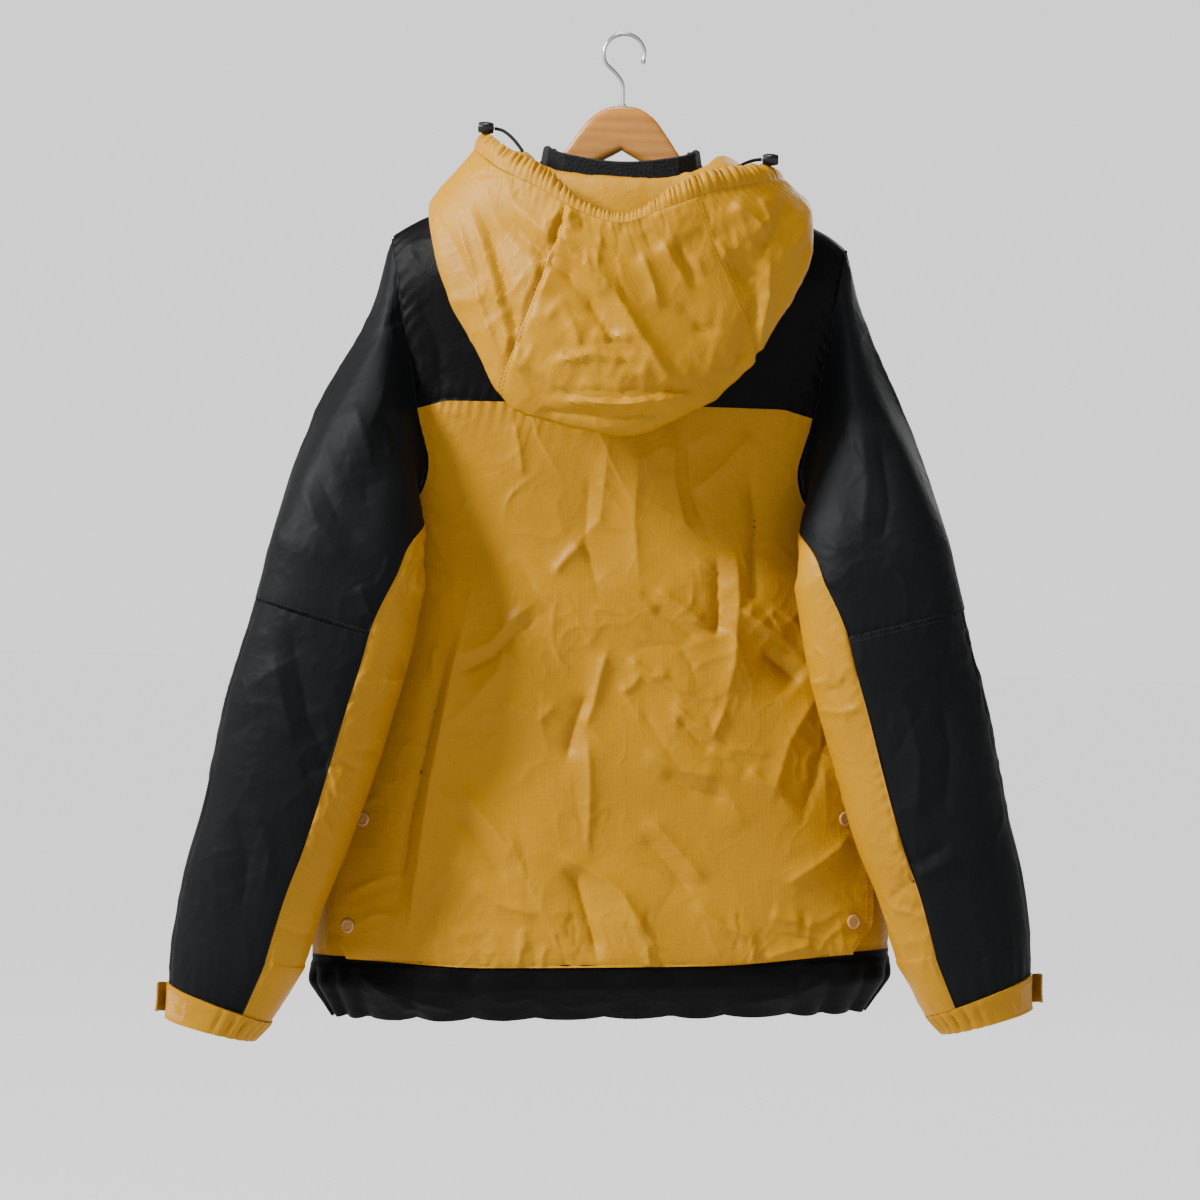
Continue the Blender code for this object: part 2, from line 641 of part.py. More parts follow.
def wall_way(theta, down):
    """The outward side of the cloth; under the arm it turns steadily towards the first oval's."""
    turned = theta % 360
    pleat = smooth(170, 180, turned) * (1 - smooth(222, 236, turned)) * (1 - smooth(0.92, 1.08, down))
    normal = sleeve_normal(theta, down)
    if pleat <= 0:
        return normal
    outer, inner = seam_turn(theta, TURN_STEPS)
    f = smooth(0.0, 1.0, down)
    steady = unit(outer - inner) * (1 - f) + sleeve_normal(theta, 1.1) * f
    steady = unit(steady + vec(0.0, -0.3, -0.5) * math.sin(math.pi * f))
    return unit(steady * pleat + normal * (1 - pleat))


def sleeve_pair(theta, down):
    point = sleeve_point(theta, down)
    return point, point - wall_way(theta, down) * sleeve_wall(theta, down)


SLEEVE_ROWS = [0.10, 0.20, 0.32, 0.45, 0.60, 0.76, 0.92, 1.10, 1.30]


def ring_down(z):
    return 1 + (FIRST_OVAL_Z - z) / 0.1


ELBOW_DOWN = ring_down(ELBOW_Z)


def ring_angle(theta):
    """The oval's angle that a seam angle leads to."""
    return profile([(row[0], row[1]) for row in ARM_LOFT], theta % 360)


def cuff_top_z(ring):
    return -0.8590 + 0.0052 * math.cos(math.radians(ring))


GUSSET_BACK = min(LOOP_ANGLES[k] for k, p in enumerate(LOOP_POINTS) if abs(p[2] - UPPER_ROWS[1]) < 1e-6)
GUSSET_FRONT = min((abs(a - 176.0), a) for a in LOOP_ANGLES)[1]


def gusset_edges(down):
    rows = [(0.0, GUSSET_BACK, GUSSET_FRONT)] + GUSSET
    return profile(rows, down, 1), profile(rows, down, 2)


def shares_between(low, high, extra=()):
    """The armhole's corners between two seam angles as shares of the way."""
    turned = sorted([a - 360 for a in LOOP_ANGLES] + list(LOOP_ANGLES))
    inside = [a for a in turned if low + 0.5 < a < high - 0.5]
    joined = []
    for a in inside:
        if not joined or a - joined[-1] > 0.2:
            joined.append(a)
    return [0.0] + sorted([(a - low) / (high - low) for a in joined] + list(extra)) + [1.0]


def beside_seam(pair_at, spans, share, down, reach):
    """Outer and inner points at a share of the way across; at the edges half a gap clear of the seam."""
    edge = 0 if share < 0.5 else 1
    low, high = spans(down)
    theta = low + (high - low) * share
    outer, inner = pair_at(theta, down)
    if 0.0 < share < 1.0:
        return outer, inner
    across = pair_at(theta + 1, down)[0] - pair_at(theta - 1, down)[0]
    ahead = pair_at(spans(down + reach)[edge], down + reach)[0]
    behind = pair_at(spans(down - reach)[edge], down - reach)[0]
    seam = unit(ahead - behind)
    shift = unit(across - seam * np.dot(across, seam)) * (HALF_GAP if share == 0.0 else -HALF_GAP)
    return outer + shift, inner + shift


def sleeve_panel(name, spans, shares, rows, finish, turned=False):
    """One sleeve panel on both sides. spans gives its two edges at a distance down the sleeve."""
    outer, inner = [], []
    if turned:
        for step in range(TURN_STEPS):
            pairs = [beside_seam(seam_turn, lambda _: spans(0.0), share, step, 0.5) for share in shares]
            outer.append([p[0] for p in pairs])
            inner.append([p[1] for p in pairs])
    for down in rows:
        pairs = []
        for share in shares:
            level = down
            if down == "end":
                low, high = spans(ring_down(cuff_top_z(180)))
                level = ring_down(cuff_top_z(ring_angle(low + (high - low) * share)) + HALF_GAP)
            pairs.append(beside_seam(sleeve_pair, spans, share, level, 0.03))
        outer.append([p[0] for p in pairs])
        inner.append([p[1] for p in pairs])
    for side, word in ((1, "left"), (-1, "right")):
        wall(f"{name}_{word}", hung(mirrored(outer, side)), hung(mirrored(inner, side)), finish)


def make_sleeves():
    gap = HALF_GAP / 0.1
    lower_rows = [ELBOW_DOWN + gap, 2.00, 2.60, 3.20, 3.80, 4.35, "end"]

    def upper(down):
        rear, front = gusset_edges(down)
        return front - 360, rear

    def gusset(down):
        return gusset_edges(down)

    def lower_back(down):
        return 20, gusset_edges(down)[0]

    def lower_front(down):
        return gusset_edges(down)[1] - 360, 20

    low, high = upper(0.0)
    upper_rows = SLEEVE_ROWS + [ELBOW_DOWN - gap]
    sleeve_panel("sleeve_upper", upper, shares_between(low, high), upper_rows, CHARCOAL, True)
    low, high = gusset(0.0)
    shares = shares_between(low, high, (0.15, 0.32))
    sleeve_panel("sleeve_gusset", gusset, shares, SLEEVE_ROWS + lower_rows, YELLOW, True)
    even = [k / 8 for k in range(9)]
    sleeve_panel("sleeve_lower_back", lower_back, even, lower_rows, CHARCOAL)
    even = [k / 10 for k in range(11)]
    sleeve_panel("sleeve_lower_front", lower_front, even, lower_rows, CHARCOAL)


def cuff_grow(theta, f):
    """Gathers on the cuff's inner half."""
    inner_half = smooth(95, 130, theta) * (1 - smooth(230, 265, theta))
    return 0.0013 * math.cos(math.radians(theta * 20)) * inner_half * math.sin(math.pi * min(1, f + 0.15))


def cuff_point(theta, f, grow=0.0):
    top = cuff_top_z(theta) - HALF_GAP
    z = top + (CUFF_END_Z - top) * f
    return oval(theta, z, grow + cuff_grow(theta, f))


def make_cuffs():
    for side, word in ((1, "left"), (-1, "right")):
        thetas = list(range(0, 108, 18)) + list(range(108, 252, 9)) + list(range(252, 360, 18))
        rows = [0.0, 0.3, 0.65, 1.0]
        outer = [[cuff_point(t, f) for t in thetas] for f in rows]
        inner = [[cuff_point(t, f, -CUFF_WALL) for t in thetas] for f in rows]
        wall(f"cuff_{word}", hung(mirrored(outer, side)), hung(mirrored(inner, side)), YELLOW, ring=True)
        patch = [16 + 7 * i for i in range(7)]
        rows = [0.14, 0.5, 0.88]
        outer = [[cuff_point(t, f, 0.0017) for t in patch] for f in rows]
        inner = [[cuff_point(t, f, 0.0003) for t in patch] for f in rows]
        wall(f"cuff_patch_{word}", hung(mirrored(outer, side)), hung(mirrored(inner, side)), HOOK_TAN)
        tab = [-70, -55, -40, -25, -12, -2, 6]
        lifts = [0.0004, 0.0005, 0.0012, 0.0030, 0.0055, 0.0078, 0.0092]
        rows = [0.10, 0.5, 0.92]
        outer = [[cuff_point(t, f, up + 0.0016) for t, up in zip(tab, lifts)] for f in rows]
        inner = [[cuff_point(t, f, up) for t, up in zip(tab, lifts)] for f in rows]
        wall(f"cuff_tab_{word}", hung(mirrored(outer, side)), hung(mirrored(inner, side)), YELLOW)


# ---- collar and hood -----------------------------------------------------------------------------
def neck_corner(psi):
    """A corner of the neckline with the body's normal. psi 0 front, 90 right, 180 back, 270 left."""
    t = math.radians(psi)
    x = -NECK_HALF * math.sin(t)
    front = math.cos(t) > 0
    if abs(x) > 0.99999 * NECK_HALF:
        point = vec(x, 0.0, NECK_SIDE_Z)
        slope = (ridge_z(NECK_HALF + 0.001) - ridge_z(NECK_HALF - 0.001)) / 0.002
        return point, unit(vec(-slope * math.copysign(1, x), 0, 1))
    z = neck_z(x, front)
    angle = angle_at(x, z) * (1 if x >= 0 else -1)
    if front:
        angle = (math.pi - abs(angle)) * (1 if x >= 0 else -1)
    return body_point(angle, z), body_normal(angle, z)


ZIP_PSI = math.degrees(math.asin(ZIP_HALF / NECK_HALF))
QUARTER = [ZIP_PSI] + list(NECK_ANGLES_FRONT) + [180 - a for a in reversed(NECK_ANGLES_BACK[:-1])]
NECK_PSI = QUARTER + [360 - a for a in reversed(QUARTER[:-1])]
NECK_CORNERS = [neck_corner(psi) for psi in NECK_PSI]


def neck_frame(psi):
    """Neckline point, body normal and the way into the neck opening."""
    found = []
    for part in (0, 1):
        values = [[c[part][axis] for c in NECK_CORNERS] for axis in range(3)]
        found.append(vec(*[np.interp(psi, NECK_PSI, v) for v in values]))
    ahead = [np.interp(psi + 3, NECK_PSI, [c[0][axis] for c in NECK_CORNERS]) for axis in range(3)]
    behind = [np.interp(psi - 3, NECK_PSI, [c[0][axis] for c in NECK_CORNERS]) for axis in range(3)]
    normal = unit(found[1])
    inward = unit(np.cross(normal, unit(vec(*ahead) - vec(*behind))))
    if np.dot(inward, vec(0, 0, -0.10) - found[0]) < 0:
        inward = -inward
    return found[0], normal, inward


COLLAR_TOP = [  # angle round the neck, height of the collar's top edge
    (0, -0.1180), (60, -0.1080), (90, -0.1000), (130, -0.1140), (180, -0.1215), (230, -0.1140),
    (270, -0.1000), (300, -0.1080), (360, -0.1180),
]


def collar_point(psi, f):
    """f 0 at the neckline seam, 1 at the collar's top edge."""
    point, normal, inward = neck_frame(psi)
    start = point + inward * SEAM_GAP
    radius = 0.0022
    top = profile(COLLAR_TOP, psi % 360)
    if f <= 0:
        return start, normal
    up = vec(0, 0, 1)
    out = unit(vec(point[0], point[1], 0))
    tuck = max(0.0, float(np.dot(inward, -out)))
    base = start + inward * radius * tuck * 1.6 + up * radius * tuck
    wall_height = top - base[2]
    lean = 0.0025 * f
    return base + up * wall_height * f - out * lean, out


def make_collar():
    psis = []
    for a, b in zip(NECK_PSI[:-1], NECK_PSI[1:]):
        psis += [a, (a + b) / 2]
    psis.append(NECK_PSI[-1])
    outer, inner = [], []
    for f in (0.0, 0.12, 0.55, 1.0):
        pairs = [collar_point(psi, f) for psi in psis]
        outer.append([p[0] for p in pairs])
        inner.append([p[0] - p[1] * COLLAR_WALL for p in pairs])
    wall("collar", hung(outer), hung(inner), FLEECE)


def hood_row(t):
    return [profile([(row[0], row[k]) for row in HOOD], t) for k in range(1, 8)]


def bezier(a, b, c, d, f):
    g = 1 - f
    return a * g**3 + b * 3 * f * g**2 + c * 3 * f**2 * g + d * f**3


NECK_RISE = 0.058


def hood_point(t, s):
    """s 0 at the neck seam, 0.5 at the hanging fold, 1 at the rim's seam."""
    psi, fx, fy, fz, rx, ry, rz = hood_row(t)
    point, normal, inward = neck_frame(psi)
    fold = vec(fx, fy, fz)
    rim = vec(rx, ry, rz)
    behind = max(0.0, -math.cos(math.radians(psi)))
    out = unit(vec(normal[0], normal[1], 0)) if math.hypot(normal[0], normal[1]) > 0.2 else unit(
        vec(math.copysign(1, point[0]), 0, 0))
    up = vec(0, 0, 1)
    root = point + out * (HOOD_WALL + 0.0010) + normal * (0.0008 + 0.0046 * abs(normal[2]))
    if s < 0.5:
        hanging = smooth(0.05, 0.55, behind)
        above = up * (0.36 * max(0.02, root[2] - fz)) - vec(0, 0.006 * behind, 0)
        tucked = up * 0.013 - unit(vec(fx - point[0], fy - point[1], 0)) * 0.028
        lower = fold + above * hanging + tucked * (1 - hanging)
        rise = 0.022 + (0.010 + NECK_RISE) * behind
        return bezier(root, root + up * rise + out * 0.016, lower, fold, s / 0.5)
    f = (s - 0.5) / 0.5
    away = unit(vec(fx - point[0], fy - point[1], 0))
    swell = away * (0.020 + 0.008 * behind)
    start = fold + swell * 0.9 - up * (0.002 + 0.006 * behind)
    near = rim + swell * 0.55 - up * (0.34 * (rz - fz))
    return bezier(fold, start, near, rim, f)


def hood_normal(t, s):
    e = 0.004
    ta, tb = max(-1.0, t - e), min(1.0, t + e)
    sa, sb = max(0.0, s - e), min(1.0, s + e)
    across = hood_point(tb, s) - hood_point(ta, s)
    along = hood_point(t, sb) - hood_point(t, sa)
    return unit(np.cross(along, across))


def hood_pair(t, s, grow=0.0):
    point = hood_point(t, s)
    normal = hood_normal(t, s)
    narrow = smooth(0.60, 0.80, abs(t)) * (1 - FOLD_WALL) * 0.6
    thick = HOOD_WALL * (FOLD_WALL + (1 - FOLD_WALL - narrow) * smooth(0.02, 0.16, abs(s - 0.53)))
    return point + normal * grow, point + normal * (grow - thick)


HOOD_ROWS = [0.0, 0.05, 0.11, 0.20, 0.32, 0.42, 0.48, 0.53, 0.60, 0.70, 0.82, 0.92, 1.0]
RIM_DEPTH = 0.020
RIM_TURN = 0.92
RIM_TURN_AT = 0.03


HOOD_SPANS = (  # name, first and last place across, columns
    ("hood_right", -1.0, HOOD_SEAM_RIGHT, 12), ("hood_center", HOOD_SEAM_RIGHT, HOOD_SEAM_LEFT, 8),
    ("hood_left", HOOD_SEAM_LEFT, 1.0, 12),
)
HOOD_TRIM = 0.0009


def hood_places(first, last, count):
    return [first + (last - first) * i / (count - 1) for i in range(count)]


def make_hood():
    for name, first, last, count in HOOD_SPANS:
        places = hood_places(first + HOOD_TRIM, last - HOOD_TRIM, count)
        outer, inner = [], []
        for s in HOOD_ROWS:
            pairs = [hood_pair(t, s) for t in places]
            outer.append([p[0] for p in pairs])
            inner.append([p[1] for p in pairs])
        wall(name, hung(outer), hung(inner), YELLOW)


def rim_sections():
    """Place across, middle of the rim edge, normal, way up from it and the way that the channel turns to."""
    places = []
    for _, first, last, count in HOOD_SPANS:
        places += hood_places(first + HOOD_TRIM, last - HOOD_TRIM, count)
    sections = []
    for t in places:
        outer, inner = hood_pair(t, 1.0)
        inward = RIM_TURN * (1 - smooth(0.10, 0.42, abs(t - RIM_TURN_AT)))
        rising = unit(hood_point(t, 1.0) - hood_point(t, 0.97))
        way = unit(rising * (1 - inward) + vec(0, -1.0, 0.12) * inward)
        sections.append((t, (outer + inner) / 2, hood_normal(t, 1.0), rising, way))
    joined = []
    for a, b in zip(sections[:-1], sections[1:]):
        joined.append(a)
        if b[0] - a[0] > 0.01:
            joined.append(tuple((p + q) / 2 for p, q in zip(a, b)))
    return joined + [sections[-1]]


def make_rim():
    """The drawcord channel: a soft flat tube on the hood's rim, gathered by its cord."""
    outer, inner = [], []
    for f in (0.0, 0.5, 1.0):
        line_out, line_in = [], []
        for t, middle, normal, rising, way in rim_sections():
            half = HOOD_WALL / 2 + 0.0021 * math.sin(math.pi * f)
            wave = 0.0015 * math.sin(2 * math.pi * 16 * t) * f
            turned = 0.85 * math.sqrt(f)
            heading = unit(rising * (1 - turned) + way * turned)
            facing = unit(np.cross(heading, np.cross(normal, rising)))
            centre = middle + unit(rising) * SEAM_GAP + heading * RIM_DEPTH * f + facing * wave
            line_out.append(centre + facing * half)
            line_in.append(centre - facing * half)
        outer.append(line_out)
        inner.append(line_in)
    wall("hood_rim", hung(outer), hung(inner), YELLOW)


# ---- trim ----------------------------------------------------------------------------------------
def place_round(name, radius, thick, centre, normal, finish, segments=16):
    """A snap cap: a low turned disc with a rounded edge, lying on the cloth."""
    bm = bmesh.new()
    bmesh.ops.create_cone(bm, cap_ends=True, segments=segments, radius1=radius, radius2=radius * 0.78,
                          depth=thick)
    mesh = bpy.data.meshes.new(name)
    bm.to_mesh(mesh)
    bm.free()
    mesh.shade_smooth()
    mesh.set_sharp_from_angle(angle=math.radians(30))
    mesh.materials.append(material(name, finish))
    obj = bpy.data.objects.new(name, mesh)
    turn = Vector((0, 0, 1)).rotation_difference(Vector(tuple(normal)))
    obj.matrix_world = Matrix.Translation(Vector(tuple(centre))) @ turn.to_matrix().to_4x4()
    PART.objects.link(obj)
    return obj


def make_snaps():
    for side, word in ((1, "left"), (-1, "right")):
        for level, x, z in (("upper", 0.2157, -0.7035), ("lower", 0.2253, -0.7967)):
            surface = back_at(x, z, lift(z))
            angle = angle_at(x, z)
            normal = body_normal(angle, z)
            centre = surface + normal * (0.0006 + SNAP_T / 2)
            centre = hang(vec(centre[0] * side, centre[1], centre[2]))
            normal = vec(normal[0] * side, normal[1], normal[2])
            place_round(f"snap_{level}_{word}", SNAP_RADIUS, SNAP_T, centre, normal, TAN)


def tube(name, points, radius, finish, resolution=2):
    """A round cord through points as a curve with filled caps."""
    curve = bpy.data.curves.new(name, "CURVE")
    curve.dimensions = "3D"
    curve.bevel_depth = radius
    curve.bevel_resolution = resolution
    curve.use_fill_caps = True
    spline = curve.splines.new("POLY")
    spline.points.add(len(points) - 1)
    for place, point in zip(spline.points, points):
        place.co = (*[float(c) for c in point], 1.0)
    curve.materials.append(material(name, finish))
    obj = bpy.data.objects.new(name, curve)
    PART.objects.link(obj)
    return obj


def smooth_route(knots, count):
    """Points at even steps of a Catmull-Rom curve through the knots."""
    knots = [vec(*k) for k in knots]
    route = []
    for k in range(len(knots) - 1):
        a = knots[max(0, k - 1)]
        b, c = knots[k], knots[k + 1]
        d = knots[min(len(knots) - 1, k + 2)]
        for i in range(12):
            f = i / 12
            route.append(0.5 * (2 * b + (c - a) * f + (2 * a - 5 * b + 4 * c - d) * f**2
                                + (3 * b - a - 3 * c + d) * f**3))
    route.append(knots[-1])
    lengths = np.cumsum([0] + [np.linalg.norm(q - p) for p, q in zip(route[:-1], route[1:])])
    wanted = np.linspace(0, lengths[-1], count)
    return [vec(*[np.interp(w, lengths, [p[axis] for p in route]) for axis in range(3)]) for w in wanted]


LOCKS = [  # side, lock centre x y z, knots of the cord from the lock inwards
    ("left", (0.1200, 0.062, -0.0960), ((0.1125, 0.0620, -0.0964), (0.1040, 0.0640, -0.0990),
                                       (0.0950, 0.0690, -0.1070), (0.0870, 0.0740, -0.1175))),
    ("right", (-0.1300, 0.072, -0.1188), ((-0.1225, 0.0722, -0.1188), (-0.1140, 0.0735, -0.1204),
                                         (-0.1050, 0.0765, -0.1246), (-0.0960, 0.0790, -0.1312))),
]
LOCK_RADIUS = 0.0052
LOCK_HALF = 0.0070


def make_cords():
    for word, centre, knots in LOCKS:
        heading = unit(vec(*knots[0]) - vec(*centre))
        name = f"cord_lock_{word}"
        body = place_round(name, LOCK_RADIUS, LOCK_HALF * 2, vec(*centre), heading, PLASTIC, 12)
        start = vec(*centre) + heading * (LOCK_HALF + 3 * SEAM_GAP)
        tube(f"hood_cord_{word}", smooth_route((tuple(start),) + knots[1:], 10), CORD_RADIUS, CORD_BLACK)
        body["cord"] = f"hood_cord_{word}"


# ---- zip -----------------------------------------------------------------------------------------
TAPE_BACK = 0.0012
ZIP_LEVELS = [
    -0.1220, -0.1388, -0.1560, -0.1760, -0.2100, -0.2600, -0.3150, -0.3800, -0.4400, -0.5000,
    -0.5800, -0.6600, -0.7400, -0.8230, -0.8450, -0.8620, -0.8740,
]


def zip_line(z):
    """The middle of the closed front, up over the collar."""
    if z > NECK_FRONT_Z - 0.004:
        point, _ = collar_point(0.0, 1.0)
        low = front_at(0.0, NECK_FRONT_Z - 0.004)
        f = smooth(NECK_FRONT_Z - 0.004, -0.125, z)
        return vec(0, low[1] + (point[1] - low[1]) * f, z)
    if z < -0.8235:
        return body_point(math.pi, z, profile(HEM, z))
    return front_at(0.0, z)


def make_zip():
    inner_x = ZIP_CHAIN_W / 2 + SEAM_GAP
    outer_x = ZIP_HALF - SEAM_GAP
    for side, word in ((1, "left"), (-1, "right")):
        outer, inner = [], []
        for z in ZIP_LEVELS:
            centre = zip_line(z) + vec(0, TAPE_BACK, 0)
            edge_x = outer_x - 0.0012 * smooth(NECK_FRONT_Z - 0.010, NECK_FRONT_Z, z)
            outer.append([centre + vec(side * x, 0, 0) for x in (inner_x, edge_x)])
            inner.append([centre + vec(side * x, ZIP_TAPE_WALL, 0) for x in (inner_x, edge_x)])
        wall(f"zip_tape_{word}", hung(outer), hung(inner), BLACK)
    chain_half = ZIP_CHAIN_W / 2
    outer, inner = [], []
    for z in ZIP_LEVELS[1:]:
        centre = zip_line(z) + vec(0, TAPE_BACK, 0)
        outer.append([centre + vec(x, -TAPE_BACK, 0) for x in (-chain_half, chain_half)])
        inner.append([centre + vec(x, ZIP_CHAIN_T - TAPE_BACK, 0) for x in (-chain_half, chain_half)])
    wall("zip_chain", hung(outer), hung(inner), PLASTIC)


SLIDER_Z = -0.1330
SLIDER = (0.0100, 0.0034, 0.0110)
PIVOT_OUT = 0.0026
PULL_HALF = 0.0030
PULL_T = 0.0018
PULL_TOP = 0.0020


def box(name, low, high, finish, bevel=0.0008):
    bm = bmesh.new()
    bmesh.ops.create_cube(bm, size=1.0)
    size = [h - l for l, h in zip(low, high)]
    middle = [(l + h) / 2 for l, h in zip(low, high)]
    bmesh.ops.scale(bm, vec=size, verts=bm.verts)
    bmesh.ops.translate(bm, vec=middle, verts=bm.verts)
    mesh = bpy.data.meshes.new(name)
    bm.to_mesh(mesh)
    bm.free()
    mesh.materials.append(material(name, finish))
    obj = bpy.data.objects.new(name, mesh)
    PART.objects.link(obj)
    if bevel:
        edge = obj.modifiers.new("soft edges", "BEVEL")
        edge.width = bevel
        edge.segments = 1
    return obj


def channel(name, outline, low_z, high_z, finish):
    """A straight piece with the same outline from low_z to high_z."""
    count = len(outline)
    verts = [(x, y, z) for z in (low_z, high_z) for x, y in outline]
    faces = [tuple(range(count)), tuple(reversed(range(count, 2 * count)))]
    faces += [(k, k + count, (k + 1) % count + count, (k + 1) % count) for k in range(count)]
    return add_mesh(name, verts, faces, finish)


def make_slider():
    """The slider is a channel whose two cheeks hold the pull between them."""
    front_y = zip_line(SLIDER_Z)[1] + TAPE_BACK - SEAM_GAP
    half_w, deep, half_h = SLIDER[0] / 2, SLIDER[1], SLIDER[2] / 2
    face_y = front_y - deep
    pivot_y = face_y - PIVOT_OUT
    cheek_x = PULL_HALF + SEAM_GAP
    tip_y = pivot_y - PULL_T / 2
    outline = [(half_w, front_y), (half_w, tip_y), (cheek_x, tip_y), (cheek_x, face_y),
               (-cheek_x, face_y), (-cheek_x, tip_y), (-half_w, tip_y), (-half_w, front_y)]
    channel("zip_slider", outline, SLIDER_Z - half_h, SLIDER_Z + half_h, STEEL)
    box("zip_pull", (-PULL_HALF, pivot_y - PULL_T / 2, SLIDER_Z - PULL_LENGTH), (PULL_HALF,
        pivot_y + PULL_T / 2, SLIDER_Z + PULL_TOP), STEEL, 0.0005)


# ---- hanger --------------------------------------------------------------------------------------
WOOD_TOP = [  # x, z of the hanger's upper edge
    (0.000, -0.0635), (0.0070, -0.0638), (0.0135, -0.0652), (0.0225, -0.0697), (0.0306, -0.0767),
    (0.0369, -0.0848), (0.0432, -0.0938), (0.0530, -0.1080), (0.0680, -0.1222), (0.0800, -0.1306),
    (0.1200, -0.1490), (0.1720, -0.1762), (0.1880, -0.1860),
]
WOOD_LOW = [  # x, z of its lower edge
    (0.000, -0.1030), (0.0040, -0.1055), (0.0245, -0.1165), (0.0420, -0.1260), (0.0800, -0.1500),
    (0.1200, -0.1740), (0.1720, -0.1990), (0.1880, -0.2050),
]


def make_hanger():
    xs = [0.0, 0.006, 0.013, 0.0206, 0.030, 0.040, 0.050, 0.0585, 0.068, 0.080, 0.100, 0.125, 0.150]
    xs += [0.172, 0.188]
    xs = [-x for x in reversed(xs[1:])] + xs
    sections = []
    for x in xs:
        top, low = profile(WOOD_TOP, abs(x)), profile(WOOD_LOW, abs(x))
        half = WOOD_T / 2 * (1 if abs(x) < 0.18 else 0.8)
        soft = 0.0035
        sections.append([vec(x, -half, low + soft), vec(x, -half, top - soft), vec(x, -half + soft, top),
                         vec(x, half - soft, top), vec(x, half, top - soft), vec(x, half, low + soft),
                         vec(x, half - soft, low), vec(x, -half + soft, low)])
    verts = [p for ring in sections for p in ring]
    n = 8
    faces = []
    for j in range(len(sections) - 1):
        for i in range(n):
            k = (i + 1) % n
            faces.append((j * n + i, j * n + k, (j + 1) * n + k, (j + 1) * n + i))
    faces.append(tuple(range(n)))
    last = (len(sections) - 1) * n
    faces.append(tuple(last + i for i in reversed(range(n))))
    add_mesh("hanger_wood", verts, faces, WOOD)
    wire = HOOK_WIRE
    centre_z = -HOOK_RADIUS
    radius = HOOK_RADIUS + wire
    turns = [vec(-radius * math.cos(math.radians(a)), 0, centre_z + radius * math.sin(math.radians(a)))
             for a in range(-20, 211, 21)]
    end = turns[-1]
    stem = [(end[0], 0, end[2]), (0.006, 0, -0.0350), (0.001, 0, -0.0430), (0.0, 0, -0.0520),
            (0.0, 0, -0.0632)]
    tube("hanger_hook", turns + smooth_route(stem, 8)[1:], wire, STEEL)


# ---- build ---------------------------------------------------------------------------------------
for old in list(bpy.data.objects):
    bpy.data.objects.remove(old, do_unlink=True)
PART = bpy.data.collections.new("down_jacket")
bpy.context.scene.collection.children.link(PART)
make_yokes()
make_back_panel()
make_fronts()
make_hem()
make_sleeves()
make_cuffs()
make_collar()
make_hood()
make_rim()
make_snaps()
make_cords()
make_zip()
make_slider()
make_hanger()
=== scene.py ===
"""Looks of a hooded insulated jacket on a wooden hanger, seen from behind. Metres, +Z up, front at -Y."""
import functools
import math

import bmesh
import bpy
import numpy as np
from mathutils import Matrix, Vector


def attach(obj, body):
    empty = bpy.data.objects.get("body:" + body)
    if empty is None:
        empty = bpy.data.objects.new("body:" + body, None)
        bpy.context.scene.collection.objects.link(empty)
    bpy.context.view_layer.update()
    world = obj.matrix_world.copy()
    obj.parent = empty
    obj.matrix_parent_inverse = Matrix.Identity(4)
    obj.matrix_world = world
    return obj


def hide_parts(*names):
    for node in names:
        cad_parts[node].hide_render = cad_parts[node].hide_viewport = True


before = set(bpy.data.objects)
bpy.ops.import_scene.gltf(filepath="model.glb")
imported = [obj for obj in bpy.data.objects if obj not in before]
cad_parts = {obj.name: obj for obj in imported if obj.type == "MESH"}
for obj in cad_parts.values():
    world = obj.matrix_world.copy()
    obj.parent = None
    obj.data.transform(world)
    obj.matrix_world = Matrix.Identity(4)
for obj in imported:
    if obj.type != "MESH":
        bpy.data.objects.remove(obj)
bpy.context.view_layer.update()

# ---- camera ------------------------------------------------------------------------------------------------
CAMERA_AT = (0.00876, 2.6, -0.50802)
HALF_VIEW = 0.54
ROLL = math.radians(1.55)
PIXEL = 0.0009
HOOK_PX = (625.0, 36.0)


def make_camera():
    data = bpy.data.cameras.new("camera")
    data.sensor_fit = "HORIZONTAL"
    data.angle = 2 * math.atan(HALF_VIEW / CAMERA_AT[1])
    data.clip_end = 50
    camera = bpy.data.objects.new("camera", data)
    bpy.context.scene.collection.objects.link(camera)
    right = Vector((-math.cos(ROLL), 0, math.sin(ROLL)))
    up = Vector((math.sin(ROLL), 0, math.cos(ROLL)))
    back = Vector((0, 1, 0))
    turn = Matrix((right, up, back)).transposed()
    camera.matrix_world = Matrix.Translation(CAMERA_AT) @ turn.to_4x4()
    bpy.context.scene.camera = camera


make_camera()


# ---- the solids' own measures ---------------------------------------------------------------
SEAM_GAP = 0.0003
HALF_GAP = SEAM_GAP / 2
FLAP_LIFT = 0.0030
SLEEVE_WALL = 0.0060
HOOD_WALL = 0.0026
FOLD_WALL = 0.45
SECTION_POWER = 2.25
SHOULDER_ROUND = 0.070
SHOULDER_X = 0.2025
NECK_HALF = 0.076
NECK_BACK_Z = -0.160
NECK_FRONT_Z = -0.176
NECK_SIDE_Z = -0.1172
NECK_ANGLES_BACK = (0, 22.5, 45, 67.5, 90)
NECK_ANGLES_FRONT = (35, 60, 76, 90)
UNDERARM_Z = -0.445
YOKE_Z = -0.3345
YOKE_DIP = 0.0070
YOKE_DIP_X = 0.150
PANEL_BOTTOM_Z = -0.8235
FRONT_BOTTOM_Z = -0.8243
HEM_TOP_Z = -0.8246
FLAP_START_Z = -0.500
FLAP_UNDER = 0.034
HEM_BOTTOM_Z = -0.8805
HEM_SCALLOPS = 28
ZIP_HALF = 0.0125
ELBOW_Z = -0.530
CUFF_END_Z = -0.882
